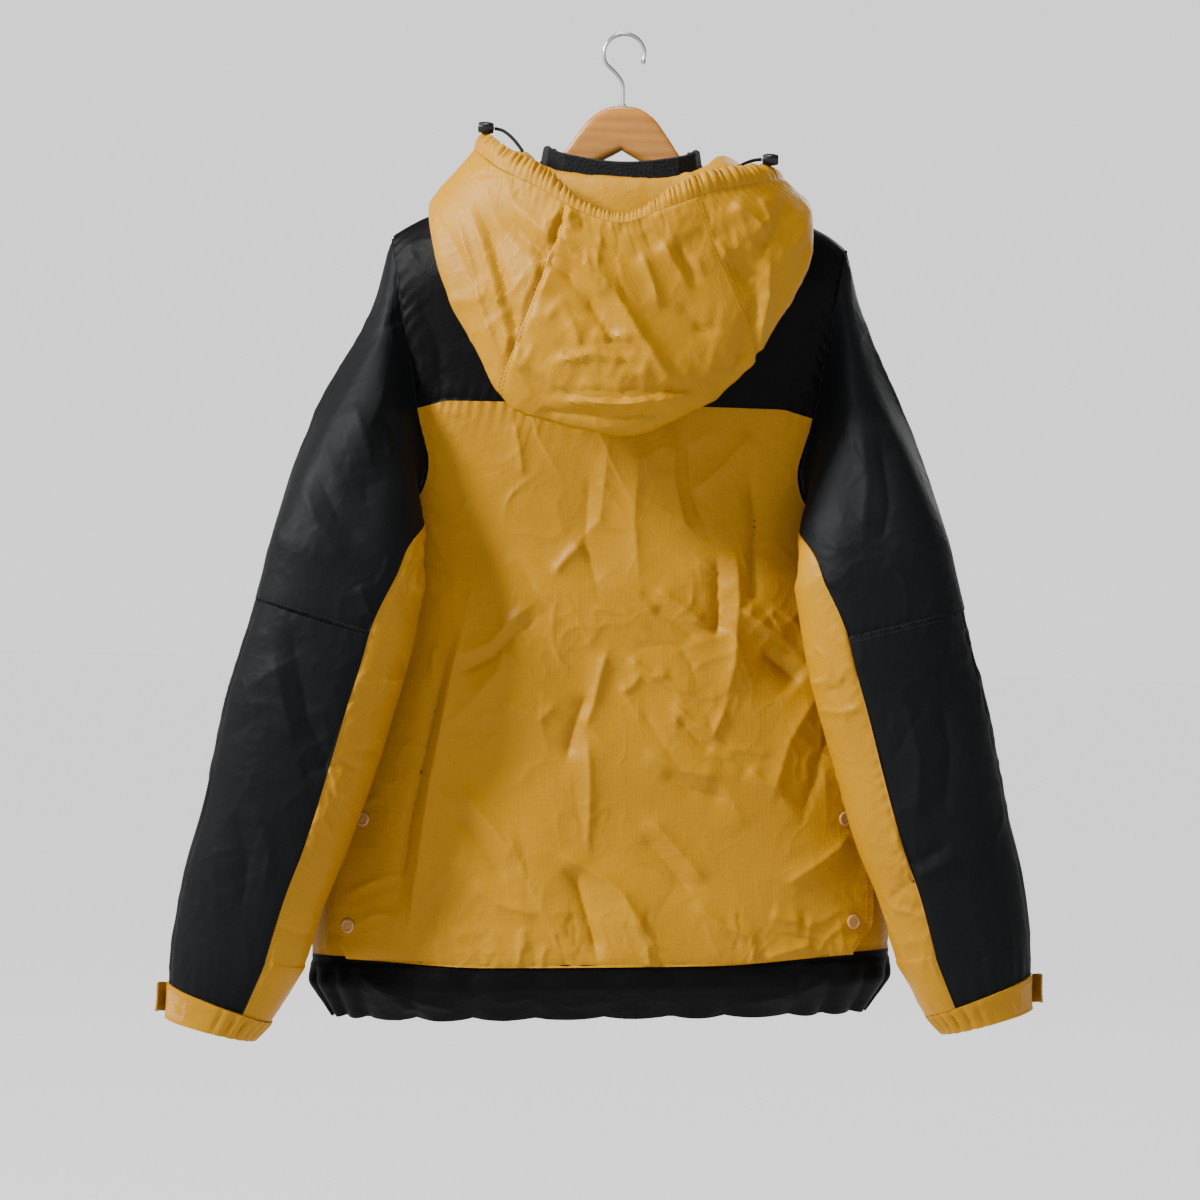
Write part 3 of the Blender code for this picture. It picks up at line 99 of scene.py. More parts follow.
CORD_RADIUS = 0.0015
HOOK_WIRE = 0.0018
HOOK_RADIUS = 0.0165
WOOD_T = 0.014

# ---- profiles: one row per level -----------------------------------------------------------------
RIDGE = [  # x, z of the shoulder line
    (0.000, -0.1095), (0.050, -0.1100), (0.076, -0.1172), (0.120, -0.1400), (0.172, -0.1672),
    (0.190, -0.1765), (0.2025, -0.1860), (0.230, -0.2150),
]
BODY = [  # z, half width, half depth, centre y
    (-0.100, 0.225, 0.055, 0.000), (-0.200, 0.225, 0.055, 0.000), (-0.330, 0.225, 0.055, -0.010),
    (-0.410, 0.225, 0.055, -0.015), (-0.460, 0.2280, 0.056, -0.018), (-0.600, 0.2400, 0.060, -0.022),
    (-0.700, 0.2500, 0.063, -0.022), (-0.8235, 0.2610, 0.066, -0.020), (-0.900, 0.2610, 0.066, -0.020),
]
ARMHOLE = [  # z, x where the armhole crosses the back and front
    (-0.445, 0.2249), (-0.4410, 0.2140), (-0.4350, 0.1970), (-0.4270, 0.1810), (-0.4100, 0.1680),
    (-0.390, 0.1645), (-0.370, 0.1685), (-0.345, 0.1750), (-0.300, 0.1815), (-0.260, 0.1900),
    (-0.225, 0.1955), (-0.186, 0.2025), (-0.150, 0.2025),
]
FLAP_EDGE = [  # z, x of the back panel's free edge
    (-0.8320, 0.2230), (-0.8240, 0.2245), (-0.8020, 0.2390), (-0.7970, 0.2400), (-0.700, 0.2330),
    (-0.600, 0.2285), (-0.500, 0.2262), (-0.445, 0.2249),
]
HEM = [  # z, growth outwards from the body's section
    (-0.8246, -0.0004), (-0.8300, -0.0004), (-0.8340, 0.0010), (-0.8480, 0.0010), (-0.8610, -0.0060),
    (-0.8720, -0.0145), (-0.8805, -0.0215),
]
SLEEVE = [  # z of the centre, centre x, centre y, half width, half depth
    (-0.4771, 0.2297, 0.0640, 0.0705, 0.0450), (-0.5458, 0.2446, 0.0630, 0.0725, 0.0450),
    (-0.6032, 0.2613, 0.0610, 0.0724, 0.0450), (-0.6600, 0.2759, 0.0590, 0.0703, 0.0440),
    (-0.7153, 0.2910, 0.0570, 0.0670, 0.0425), (-0.7586, 0.3053, 0.0550, 0.0635, 0.0405),
    (-0.8073, 0.3178, 0.0530, 0.0600, 0.0380), (-0.8445, 0.3265, 0.0515, 0.0543, 0.0355),
    (-0.8820, 0.3420, 0.0500, 0.0405, 0.0290), (-0.8900, 0.3450, 0.0500, 0.0395, 0.0285),
]
SLEEVE_TILT = math.radians(14.9)
ARM_LOFT = [  # seam angle, ring angle, near ring x y z, far ring x y z
    (0, 0, 0.2262, 0.008, -0.262, 0.2733, 0.034, -0.370),
    (45, 45, 0.2150, 0.050, -0.300, 0.2580, 0.078, -0.385),
    (90, 88, 0.2030, 0.068, -0.345, 0.2320, 0.098, -0.418),
    (120, 112, 0.1880, 0.066, -0.380, 0.2040, 0.100, -0.440),
    (140, 132, 0.1730, 0.058, -0.407, 0.1800, 0.090, -0.450),
    (155, 155, 0.1680, 0.047, -0.434, 0.1640, 0.070, -0.468),
    (170, 190, 0.1930, 0.031, -0.454, 0.1720, 0.046, -0.478),
    (180, 220, 0.2215, 0.010, -0.457, 0.1960, 0.031, -0.478),
    (190, 245, 0.2375, -0.017, -0.451, 0.2180, 0.019, -0.471),
    (205, 262, 0.2370, -0.041, -0.433, 0.2365, 0.000, -0.460),
    (225, 278, 0.2190, -0.055, -0.408, 0.2470, -0.016, -0.441),
    (270, 305, 0.2100, -0.052, -0.340, 0.2590, -0.018, -0.405),
    (315, 335, 0.2165, -0.032, -0.287, 0.2710, 0.006, -0.382),
    (360, 360, 0.2262, 0.008, -0.262, 0.2733, 0.034, -0.370),
]
GUSSET = [  # distance down (0 armhole, 1 first oval, then 1 more per 0.1 m), rear edge, front edge
    (0.35, 158.0, 175.0), (0.70, 147.0, 176.0), (1.00, 138.0, 178.5), (1.60, 126.5, 186.5),
    (6.00, 126.5, 186.5),
]
HOOD = [  # place across (-1 right end, 1 left end), neck angle, fold x y z, rim x y z
    (-1.00, 14, -0.032, -0.088, -0.1680, -0.028, -0.082, -0.1300),
    (-0.86, 50, -0.122, -0.044, -0.1480, -0.110, -0.036, -0.1260),
    (-0.72, 82, -0.160, 0.032, -0.1570, -0.145, 0.042, -0.1320),
    (-0.56, 110, -0.1640, 0.074, -0.1970, -0.122, 0.092, -0.1420),
    (-0.40, 130, -0.1350, 0.094, -0.2640, -0.083, 0.112, -0.1530),
    (-0.20, 154, -0.0760, 0.108, -0.3370, -0.035, 0.124, -0.1720),
    (0.00, 180, 0.0000, 0.114, -0.3640, 0.000, 0.128, -0.1850),
    (0.20, 206, 0.0780, 0.110, -0.3500, 0.034, 0.126, -0.1760),
    (0.40, 230, 0.1250, 0.098, -0.2850, 0.074, 0.114, -0.1530),
    (0.56, 250, 0.1560, 0.080, -0.2130, 0.108, 0.094, -0.1350),
    (0.72, 278, 0.1660, 0.036, -0.1640, 0.131, 0.048, -0.1140),
    (0.86, 310, 0.1240, -0.044, -0.1470, 0.110, -0.036, -0.1230),
    (1.00, 346, 0.0320, -0.088, -0.1680, 0.028, -0.082, -0.1300),
]
HOOD_SEAM_RIGHT = -0.33
HOOD_SEAM_LEFT = 0.27
HANG_TILT = [  # z, rise per metre of x as the cloth hangs
    (-1.000, -0.038), (-0.820, -0.036), (-0.700, -0.027), (-0.500, -0.010), (-0.360, 0.000), (0.100, 0.000),
]


def profile(table, value, column=1):
    """Smooth monotone curve through a table's rows, read at value."""
    rows = sorted(table)
    xs = [row[0] for row in rows]
    ys = [row[column] for row in rows]
    if value <= xs[0]:
        return ys[0]
    if value >= xs[-1]:
        return ys[-1]
    slopes = [(ys[i + 1] - ys[i]) / (xs[i + 1] - xs[i]) for i in range(len(xs) - 1)]
    i = max(k for k in range(len(slopes)) if xs[k] <= value)

    def tangent(k):
        if k == 0:
            return slopes[0]
        if k == len(slopes):
            return slopes[-1]
        if slopes[k - 1] * slopes[k] <= 0:
            return 0.0
        return 2 * slopes[k - 1] * slopes[k] / (slopes[k - 1] + slopes[k])

    step = xs[i + 1] - xs[i]
    f = (value - xs[i]) / step
    h00 = 2 * f**3 - 3 * f**2 + 1
    h10 = f**3 - 2 * f**2 + f
    h01 = -2 * f**3 + 3 * f**2
    h11 = f**3 - f**2
    return h00 * ys[i] + h10 * step * tangent(i) + h01 * ys[i + 1] + h11 * step * tangent(i + 1)


def smooth(low, high, value):
    f = min(1.0, max(0.0, (value - low) / (high - low)))
    return f * f * (3 - 2 * f)


def vec(*values):
    return np.array(values, dtype=float)


def unit(v):
    return v / max(1e-12, np.linalg.norm(v))


def hang(point):
    """The garment's slight skew: its left side hangs lower towards the hem."""
    x, y, z = point
    return vec(x, y, z + profile(HANG_TILT, z) * x)


# ---- body surface --------------------------------------------------------------------------------
def ridge_z(x):
    return profile(RIDGE, abs(x))


def body_size(z):
    return profile(BODY, z, 1), profile(BODY, z, 2), profile(BODY, z, 3)


def section(angle):
    """A superellipse's unit point: x to the left, y to the back; angle 0 is the back, 180 the front."""
    s, c = math.sin(angle), math.cos(angle)
    r = (abs(s) ** SECTION_POWER + abs(c) ** SECTION_POWER) ** (-1 / SECTION_POWER)
    return s * r, c * r


def angle_at(x, z):
    """The section angle (0 to 90 degrees) where the body's half is x wide at height z."""
    share = min(0.999999, abs(x) / body_size(z)[0])
    return math.atan((share**SECTION_POWER / (1 - share**SECTION_POWER)) ** (1 / SECTION_POWER))


def body_point(angle, z, grow=0.0):
    width, depth, centre = body_size(z)
    sx, sy = section(angle)
    x = width * sx
    drop = max(0.0, ridge_z(x) - z)
    depth_share = 1.0
    if drop < SHOULDER_ROUND:
        depth_share = math.sqrt(max(0.0, 1 - (1 - drop / SHOULDER_ROUND) ** 2))
    point = vec(x, centre + depth * sy * depth_share, z)
    if grow:
        point = point + grow * body_normal(angle, z)
    return point


def body_normal(angle, z):
    """Outward normal; near the ridge the surface faces up."""
    width = body_size(z)[0]
    x = width * section(angle)[0]
    slope = (ridge_z(abs(x) + 0.001) - ridge_z(abs(x) - 0.001)) / 0.002 * (1 if x >= 0 else -1)
    if ridge_z(x) - z < 1e-5:
        return unit(vec(-slope, 0.0, 1.0))
    across = body_point(angle + 1e-3, z) - body_point(angle - 1e-3, z)
    down = body_point(angle, z - 2e-4) - body_point(angle, z)
    normal = unit(np.cross(across, down))
    centre = vec(0, body_size(z)[2], z - 0.05)
    if np.dot(normal, body_point(angle, z) - centre) < 0:
        normal = -normal
    return normal


def back_at(x, z, grow=0.0):
    angle = angle_at(x, z) * (1 if x >= 0 else -1)
    return body_point(angle, z, grow)


def front_at(x, z, grow=0.0):
    angle = math.pi - angle_at(x, z)
    return body_point(angle if x >= 0 else -angle, z, grow)


def yoke_z(x):
    """The yoke seam's height; it dips towards the armhole."""
    edge = profile(ARMHOLE, YOKE_Z - YOKE_DIP)
    return YOKE_Z - YOKE_DIP * min(1.0, max(0.0, (abs(x) - YOKE_DIP_X) / (edge - YOKE_DIP_X)))


def neck_z(x, front):
    """The neckline's height, an elliptic dip between the shoulder ridges."""
    low = NECK_FRONT_Z if front else NECK_BACK_Z
    share = min(1.0, abs(x) / NECK_HALF)
    return low + (NECK_SIDE_Z - low) * (1 - math.sqrt(max(0.0, 1 - share**2.4)))


def top_z(x, front):
    return neck_z(x, front) if abs(x) < NECK_HALF - 1e-9 else ridge_z(x) - 2.6e-7


# ---- body panels ---------------------------------------------------------------------------------
def yoke_levels(x0, front):
    """Heights of the yoke's rows below the top edge at x0: rounded shoulder, then straight to the seam."""
    top = top_z(x0, front)
    start = math.acos(max(-1.0, min(1.0, 1 - (ridge_z(x0) - top) / SHOULDER_ROUND)))
    levels = [top]
    for row in range(1, 5):
        turn = start + (math.pi / 2 - start) * row / 5
        levels.append(ridge_z(x0) - SHOULDER_ROUND * (1 - math.cos(turn)))
    z_round = ridge_z(x0) - SHOULDER_ROUND
    bottom = yoke_z(yoke_x(x0, YOKE_Z - YOKE_DIP)) + HALF_GAP
    straight = 2 if front else 3
    return levels + [z_round + (bottom - z_round) * k / (straight - 1) for k in range(straight)]


def yoke_x(x0, z):
    """A column keeps its place beside the neck and follows the armhole beyond it."""
    if abs(x0) <= NECK_HALF:
        return x0
    share = (abs(x0) - NECK_HALF) / (SHOULDER_X - NECK_HALF)
    x = NECK_HALF + share * (profile(ARMHOLE, z) - NECK_HALF)
    return math.copysign(x, x0)


UPPER_ROWS = [-0.4410, -0.4350, -0.4270, -0.4120, -0.392, -0.368]
SIDE_ROWS = [-0.4438, -0.4425]


def edge_x(z):
    return profile(ARMHOLE, z) if z > UNDERARM_Z else profile(FLAP_EDGE, z)


def step_x(z):
    """Where the back panel's padded part ends and its thin free flap begins."""
    flap = FLAP_UNDER * smooth(FLAP_START_Z, FLAP_START_Z - 0.06, z)
    return edge_x(z) - max(flap, 0.0014)


def lift(z):
    return FLAP_LIFT * smooth(FLAP_START_Z + 0.05, FLAP_START_Z, z)


def hang_below(x):
    """The back panel's lower edge hangs over the hem band, deepest in the middle."""
    return -0.8325 + 0.0060 * smooth(0.10, 0.225, abs(x))


STEP_WIDTH = 0.0004


def front_reach(z):
    """The body angle where the front panel ends: at the armhole, the side seam or under the flap."""
    if z >= SIDE_ROWS[1] - 1e-9:
        return math.pi - angle_at(profile(ARMHOLE, z), z)
    if z >= SIDE_ROWS[0] - 1e-9:
        return math.pi / 2
    if z >= FLAP_START_Z - 1e-9:
        return angle_at(edge_x(z) + HALF_GAP, z)
    return angle_at(step_x(z) + 2 * STEP_WIDTH, z)


def hem_ring_angle(share):
    """Angle round the hem from one side of the zip to the other; share -1 to 1."""
    reach = math.pi - angle_at(ZIP_HALF, PANEL_BOTTOM_Z)
    return share * reach


# ---- sleeves -------------------------------------------------------------------------------------
def armhole_corners():
    """The left armhole's corners, down the back and up the front, as body angle and height."""
    seam = YOKE_Z - YOKE_DIP
    back = yoke_levels(SHOULDER_X, False)[:-1] + [seam] + list(reversed(UPPER_ROWS))
    front = UPPER_ROWS + [seam] + list(reversed(yoke_levels(SHOULDER_X, True)[:-1]))
    corners = [(angle_at(profile(ARMHOLE, z), z), z) for z in back]
    corners.append((angle_at(edge_x(UNDERARM_Z), UNDERARM_Z), UNDERARM_Z))
    corners.append((math.pi / 2, SIDE_ROWS[0]))
    corners += [(math.pi - angle_at(profile(ARMHOLE, z), z), z) for z in [SIDE_ROWS[1]] + front]
    return corners, len(back)


def armhole_loop():
    """Seam angles (0 shoulder, 180 underarm), points, normals and ways out of the panels at the corners."""
    corners, under = armhole_corners()
    points = [body_point(a, z) for a, z in corners]
    normals = [body_normal(a, z) for a, z in corners]
    lengths = np.cumsum([0.0] + [np.linalg.norm(b - a) for a, b in zip(points[:-1], points[1:])])
    round_angles = [180 * v / lengths[under] for v in lengths[:under + 1]]
    front_length = lengths[-1] - lengths[under]
    round_angles += [180 + 180 * (v - lengths[under]) / front_length for v in lengths[under + 1:]]
    ways = []
    for k, normal in enumerate(normals):
        before = points[k] - points[k - 1] if k else points[0] - points[-2]
        after = points[k + 1] - points[k] if k < len(points) - 1 else points[1] - points[0]
        ways.append(unit(np.cross(unit(before) + unit(after), normal)))
    return round_angles, points, normals, ways


LOOP_ANGLES, LOOP_POINTS, LOOP_NORMALS, LOOP_WAYS = armhole_loop()


def armhole_edge(theta):
    """A point of the left armhole, the body's normal there and the way out of the panel's edge."""
    theta = theta % 360
    found = []
    for values in (LOOP_POINTS, LOOP_NORMALS, LOOP_WAYS):
        found.append(vec(*[np.interp(theta, LOOP_ANGLES, [v[axis] for v in values]) for axis in range(3)]))
    return found[0], unit(found[1]), unit(found[2])


def loft_row(theta):
    cols = []
    for column in range(1, 8):
        cols.append(profile([(row[0], row[column]) for row in ARM_LOFT], theta % 360))
    return cols


def oval(theta, z, grow=0.0):
    """The sleeve's ring round height z. theta 0 is the outer edge, 90 the rear, 180 the inner edge."""
    cx, cy, a, b = (profile(SLEEVE, z, k) for k in (1, 2, 3, 4))
    t = math.radians(theta)
    c, s = math.cos(t), math.sin(t)
    power = 2.2
    r = (abs(c) ** power + abs(s) ** power) ** (-1 / power)
    side = vec(math.cos(SLEEVE_TILT), 0.0, math.sin(SLEEVE_TILT))
    n = unit(side * (c / a) + vec(0, s / b, 0))
    return vec(cx, cy, z) + side * (a * c * r) + vec(0, b * s * r, 0) + n * grow


FIRST_OVAL_Z = SLEEVE[0][0]
TURN_STEPS = 3
SEAM_CLEAR = 0.0022


def fold_amount(theta):
    """How far the cloth folds back on the body at the seam: near 1 at the underarm, 0 at the shoulder."""
    theta = theta % 360
    edge, normal, way = armhole_edge(theta)
    leaving = vec(*loft_row(theta)[1:4]) - edge
    turn = math.atan2(max(0.0, np.dot(leaving, normal)), np.dot(leaving, way)) / math.pi
    return turn * smooth(128, 166, theta) * (1 - smooth(206, 244, theta))


def sleeve_wall(theta, down):
    """The wall thins where it folds at the underarm."""
    turned = theta % 360
    at_seam = min(1.0, 1.5 * fold_amount(theta)) * (1 - smooth(0.30, 0.95, down))
    below = smooth(160, 178, turned) * (1 - smooth(218, 240, turned)) * (1 - smooth(1.0, 1.35, down))
    return SLEEVE_WALL * (1 - 0.86 * max(at_seam, below))


def seam_turn(theta, step):
    """Outer and inner points of the rings that turn round the panel's edge; step 0 to TURN_STEPS."""
    edge, normal, way = armhole_edge(theta)
    fold = fold_amount(theta)
    turn = math.pi * fold * step / TURN_STEPS
    clear = SEAM_GAP + (SEAM_CLEAR - SEAM_GAP) * fold * step / TURN_STEPS
    toward = way * math.cos(turn / 2) + normal * math.sin(turn / 2)
    outer = edge + toward * clear + way * 0.0012 * step * (1 - fold)
    facing = normal * math.cos(turn) - way * math.sin(turn)
    return outer, outer - facing * sleeve_wall(theta, 0.0)


def sleeve_point(theta, down):
    """A point of the left sleeve's outer surface. down: 0 armhole, 1 first oval, then 1 more per 0.1 m."""
    ring_theta, nx, ny, nz, fx, fy, fz = loft_row(theta)
    if down >= 1:
        return oval(ring_theta, FIRST_OVAL_Z - 0.1 * (down - 1))
    points = [seam_turn(theta, TURN_STEPS)[0], vec(nx, ny, nz), vec(fx, fy, fz),
              oval(ring_theta, FIRST_OVAL_Z), oval(ring_theta, FIRST_OVAL_Z - 0.05)]
    knots = [0.0, 0.38, 0.72, 1.0, 1.5]
    tangents = []
    for k in range(5):
        lo, hi = max(0, k - 1), min(4, k + 1)
        tangents.append((points[hi] - points[lo]) / (knots[hi] - knots[lo]))
    k = 0 if down < knots[1] else 1 if down < knots[2] else 2
    step = knots[k + 1] - knots[k]
    f = (down - knots[k]) / step
    return (points[k] * (2 * f**3 - 3 * f**2 + 1) + tangents[k] * step * (f**3 - 2 * f**2 + f)
            + points[k + 1] * (-2 * f**3 + 3 * f**2) + tangents[k + 1] * step * (f**3 - f**2))


def ring_down(z):
    return 1 + (FIRST_OVAL_Z - z) / 0.1


ELBOW_DOWN = ring_down(ELBOW_Z)


def ring_angle(theta):
    """The oval's angle that a seam angle leads to."""
    return profile([(row[0], row[1]) for row in ARM_LOFT], theta % 360)


def cuff_top_z(ring):
    return -0.8590 + 0.0052 * math.cos(math.radians(ring))


GUSSET_BACK = min(LOOP_ANGLES[k] for k, p in enumerate(LOOP_POINTS) if abs(p[2] - UPPER_ROWS[1]) < 1e-6)
GUSSET_FRONT = min((abs(a - 176.0), a) for a in LOOP_ANGLES)[1]


def gusset_edges(down):
    rows = [(0.0, GUSSET_BACK, GUSSET_FRONT)] + GUSSET
    return profile(rows, down, 1), profile(rows, down, 2)


def cuff_grow(theta, f):
    """Gathers on the cuff's inner half."""
    inner_half = smooth(95, 130, theta) * (1 - smooth(230, 265, theta))
    return 0.0013 * math.cos(math.radians(theta * 20)) * inner_half * math.sin(math.pi * min(1, f + 0.15))


def cuff_point(theta, f, grow=0.0):
    top = cuff_top_z(theta) - HALF_GAP
    z = top + (CUFF_END_Z - top) * f
    return oval(theta, z, grow + cuff_grow(theta, f))


# ---- collar and hood -----------------------------------------------------------------------------
def neck_corner(psi):
    """A corner of the neckline with the body's normal. psi 0 front, 90 right, 180 back, 270 left."""
    t = math.radians(psi)
    x = -NECK_HALF * math.sin(t)
    front = math.cos(t) > 0
    if abs(x) > 0.99999 * NECK_HALF:
        point = vec(x, 0.0, NECK_SIDE_Z)
        slope = (ridge_z(NECK_HALF + 0.001) - ridge_z(NECK_HALF - 0.001)) / 0.002
        return point, unit(vec(-slope * math.copysign(1, x), 0, 1))
    z = neck_z(x, front)
    angle = angle_at(x, z) * (1 if x >= 0 else -1)
    if front:
        angle = (math.pi - abs(angle)) * (1 if x >= 0 else -1)
    return body_point(angle, z), body_normal(angle, z)


ZIP_PSI = math.degrees(math.asin(ZIP_HALF / NECK_HALF))
QUARTER = [ZIP_PSI] + list(NECK_ANGLES_FRONT) + [180 - a for a in reversed(NECK_ANGLES_BACK[:-1])]
NECK_PSI = QUARTER + [360 - a for a in reversed(QUARTER[:-1])]
NECK_CORNERS = [neck_corner(psi) for psi in NECK_PSI]


def neck_frame(psi):
    """Neckline point, body normal and the way into the neck opening."""
    found = []
    for part in (0, 1):
        values = [[c[part][axis] for c in NECK_CORNERS] for axis in range(3)]
        found.append(vec(*[np.interp(psi, NECK_PSI, v) for v in values]))
    ahead = [np.interp(psi + 3, NECK_PSI, [c[0][axis] for c in NECK_CORNERS]) for axis in range(3)]
    behind = [np.interp(psi - 3, NECK_PSI, [c[0][axis] for c in NECK_CORNERS]) for axis in range(3)]
    normal = unit(found[1])
    inward = unit(np.cross(normal, unit(vec(*ahead) - vec(*behind))))
    if np.dot(inward, vec(0, 0, -0.10) - found[0]) < 0:
        inward = -inward
    return found[0], normal, inward


COLLAR_TOP = [  # angle round the neck, height of the collar's top edge
    (0, -0.1180), (60, -0.1080), (90, -0.1000), (130, -0.1140), (180, -0.1215), (230, -0.1140),
    (270, -0.1000), (300, -0.1080), (360, -0.1180),
]


def collar_point(psi, f):
    """f 0 at the neckline seam, 1 at the collar's top edge."""
    point, normal, inward = neck_frame(psi)
    start = point + inward * SEAM_GAP
    radius = 0.0022
    top = profile(COLLAR_TOP, psi % 360)
    if f <= 0:
        return start, normal
    up = vec(0, 0, 1)
    out = unit(vec(point[0], point[1], 0))
    tuck = max(0.0, float(np.dot(inward, -out)))
    base = start + inward * radius * tuck * 1.6 + up * radius * tuck
    wall_height = top - base[2]
    lean = 0.0025 * f
    return base + up * wall_height * f - out * lean, out


def hood_row(t):
    return [profile([(row[0], row[k]) for row in HOOD], t) for k in range(1, 8)]


def bezier(a, b, c, d, f):
    g = 1 - f
    return a * g**3 + b * 3 * f * g**2 + c * 3 * f**2 * g + d * f**3


NECK_RISE = 0.058


def hood_point(t, s):
    """s 0 at the neck seam, 0.5 at the hanging fold, 1 at the rim's seam."""
    psi, fx, fy, fz, rx, ry, rz = hood_row(t)
    point, normal, _ = neck_frame(psi)
    fold = vec(fx, fy, fz)
    rim = vec(rx, ry, rz)
    behind = max(0.0, -math.cos(math.radians(psi)))
    out = unit(vec(normal[0], normal[1], 0)) if math.hypot(normal[0], normal[1]) > 0.2 else unit(
        vec(math.copysign(1, point[0]), 0, 0))
    up = vec(0, 0, 1)
    root = point + out * (HOOD_WALL + 0.0010) + normal * (0.0008 + 0.0046 * abs(normal[2]))
    if s < 0.5:
        hanging = smooth(0.05, 0.55, behind)
        above = up * (0.36 * max(0.02, root[2] - fz)) - vec(0, 0.006 * behind, 0)
        tucked = up * 0.013 - unit(vec(fx - point[0], fy - point[1], 0)) * 0.028
        lower = fold + above * hanging + tucked * (1 - hanging)
        rise = 0.022 + (0.010 + NECK_RISE) * behind
        return bezier(root, root + up * rise + out * 0.016, lower, fold, s / 0.5)
    f = (s - 0.5) / 0.5
    away = unit(vec(fx - point[0], fy - point[1], 0))
    swell = away * (0.020 + 0.008 * behind)
    start = fold + swell * 0.9 - up * (0.002 + 0.006 * behind)
    near = rim + swell * 0.55 - up * (0.34 * (rz - fz))
    return bezier(fold, start, near, rim, f)


def hood_normal(t, s):
    e = 0.004
    ta, tb = max(-1.0, t - e), min(1.0, t + e)
    sa, sb = max(0.0, s - e), min(1.0, s + e)
    across = hood_point(tb, s) - hood_point(ta, s)
    along = hood_point(t, sb) - hood_point(t, sa)
    return unit(np.cross(along, across))


def hood_pair(t, s, grow=0.0):
    point = hood_point(t, s)
    normal = hood_normal(t, s)
    narrow = smooth(0.60, 0.80, abs(t)) * (1 - FOLD_WALL) * 0.6
    thick = HOOD_WALL * (FOLD_WALL + (1 - FOLD_WALL - narrow) * smooth(0.02, 0.16, abs(s - 0.53)))
    return point + normal * grow, point + normal * (grow - thick)


RIM_DEPTH = 0.020
RIM_TURN = 0.92
RIM_TURN_AT = 0.03


HOOD_SPANS = (  # name, first and last place across, columns
    ("hood_right", -1.0, HOOD_SEAM_RIGHT, 12), ("hood_center", HOOD_SEAM_RIGHT, HOOD_SEAM_LEFT, 8),
    ("hood_left", HOOD_SEAM_LEFT, 1.0, 12),
)
HOOD_TRIM = 0.0009


def smooth_route(knots, count):
    """Points at even steps of a Catmull-Rom curve through the knots."""
    knots = [vec(*k) for k in knots]
    route = []
    for k in range(len(knots) - 1):
        a = knots[max(0, k - 1)]
        b, c = knots[k], knots[k + 1]
        d = knots[min(len(knots) - 1, k + 2)]
        for i in range(12):
            f = i / 12
            route.append(0.5 * (2 * b + (c - a) * f + (2 * a - 5 * b + 4 * c - d) * f**2
                                + (3 * b - a - 3 * c + d) * f**3))
    route.append(knots[-1])
    lengths = np.cumsum([0] + [np.linalg.norm(q - p) for p, q in zip(route[:-1], route[1:])])
    wanted = np.linspace(0, lengths[-1], count)
    return [vec(*[np.interp(w, lengths, [p[axis] for p in route]) for axis in range(3)]) for w in wanted]


LOCKS = [  # side, lock centre x y z, knots of the cord from the lock inwards
    ("left", (0.1200, 0.062, -0.0960), ((0.1125, 0.0620, -0.0964), (0.1040, 0.0640, -0.0990),
                                       (0.0950, 0.0690, -0.1070), (0.0870, 0.0740, -0.1175))),
    ("right", (-0.1300, 0.072, -0.1188), ((-0.1225, 0.0722, -0.1188), (-0.1140, 0.0735, -0.1204),
                                         (-0.1050, 0.0765, -0.1246), (-0.0960, 0.0790, -0.1312))),
]
LOCK_HALF = 0.0070


def zip_line(z):
    """The middle of the closed front, up over the collar."""
    if z > NECK_FRONT_Z - 0.004:
        point, _ = collar_point(0.0, 1.0)
        low = front_at(0.0, NECK_FRONT_Z - 0.004)
        f = smooth(NECK_FRONT_Z - 0.004, -0.125, z)
        return vec(0, low[1] + (point[1] - low[1]) * f, z)
    if z < -0.8235:
        return body_point(math.pi, z, profile(HEM, z))
    return front_at(0.0, z)


WOOD_TOP = [  # x, z of the hanger's upper edge
    (0.000, -0.0635), (0.0070, -0.0638), (0.0135, -0.0652), (0.0225, -0.0697), (0.0306, -0.0767),
    (0.0369, -0.0848), (0.0432, -0.0938), (0.0530, -0.1080), (0.0680, -0.1222), (0.0800, -0.1306),
    (0.1200, -0.1490), (0.1720, -0.1762), (0.1880, -0.1860),
]
WOOD_LOW = [  # x, z of its lower edge
    (0.000, -0.1030), (0.0040, -0.1055), (0.0245, -0.1165), (0.0420, -0.1260), (0.0800, -0.1500),
    (0.1200, -0.1740), (0.1720, -0.1990), (0.1880, -0.2050),
]


# ---- colours and materials ---------------------------------------------------------------------------------
YELLOW = (0.355, 0.166, 0.0)
YELLOW_DEEP = (0.295, 0.132, 0.0)
BLACK = (0.0016, 0.0016, 0.0018)
CHARCOAL = (0.0042, 0.0050, 0.0056)


def nodes_of(name, rough, metal=0.0, color=(0.5, 0.5, 0.5)):
    mat = bpy.data.materials.new(name)
    mat.use_nodes = True
    tree = mat.node_tree
    shader = tree.nodes["Principled BSDF"]
    shader.inputs["Base Color"].default_value = (*color, 1)
    shader.inputs["Roughness"].default_value = rough
    shader.inputs["Metallic"].default_value = metal
    return mat, tree, shader


def add_node(tree, kind, **values):
    node = tree.nodes.new(kind)
    for key, value in values.items():
        if hasattr(node, key):
            setattr(node, key, value)
        else:
            node.inputs[key.replace("_", " ")].default_value = value
    return node


def math_node(tree, operation, a, b=None):
    node = tree.nodes.new("ShaderNodeMath")
    node.operation = operation
    for slot, value in enumerate((a, b)):
        if value is None:
            continue
        if isinstance(value, (int, float)):
            node.inputs[slot].default_value = value
        else:
            tree.links.new(value, node.inputs[slot])
    return node.outputs[0]


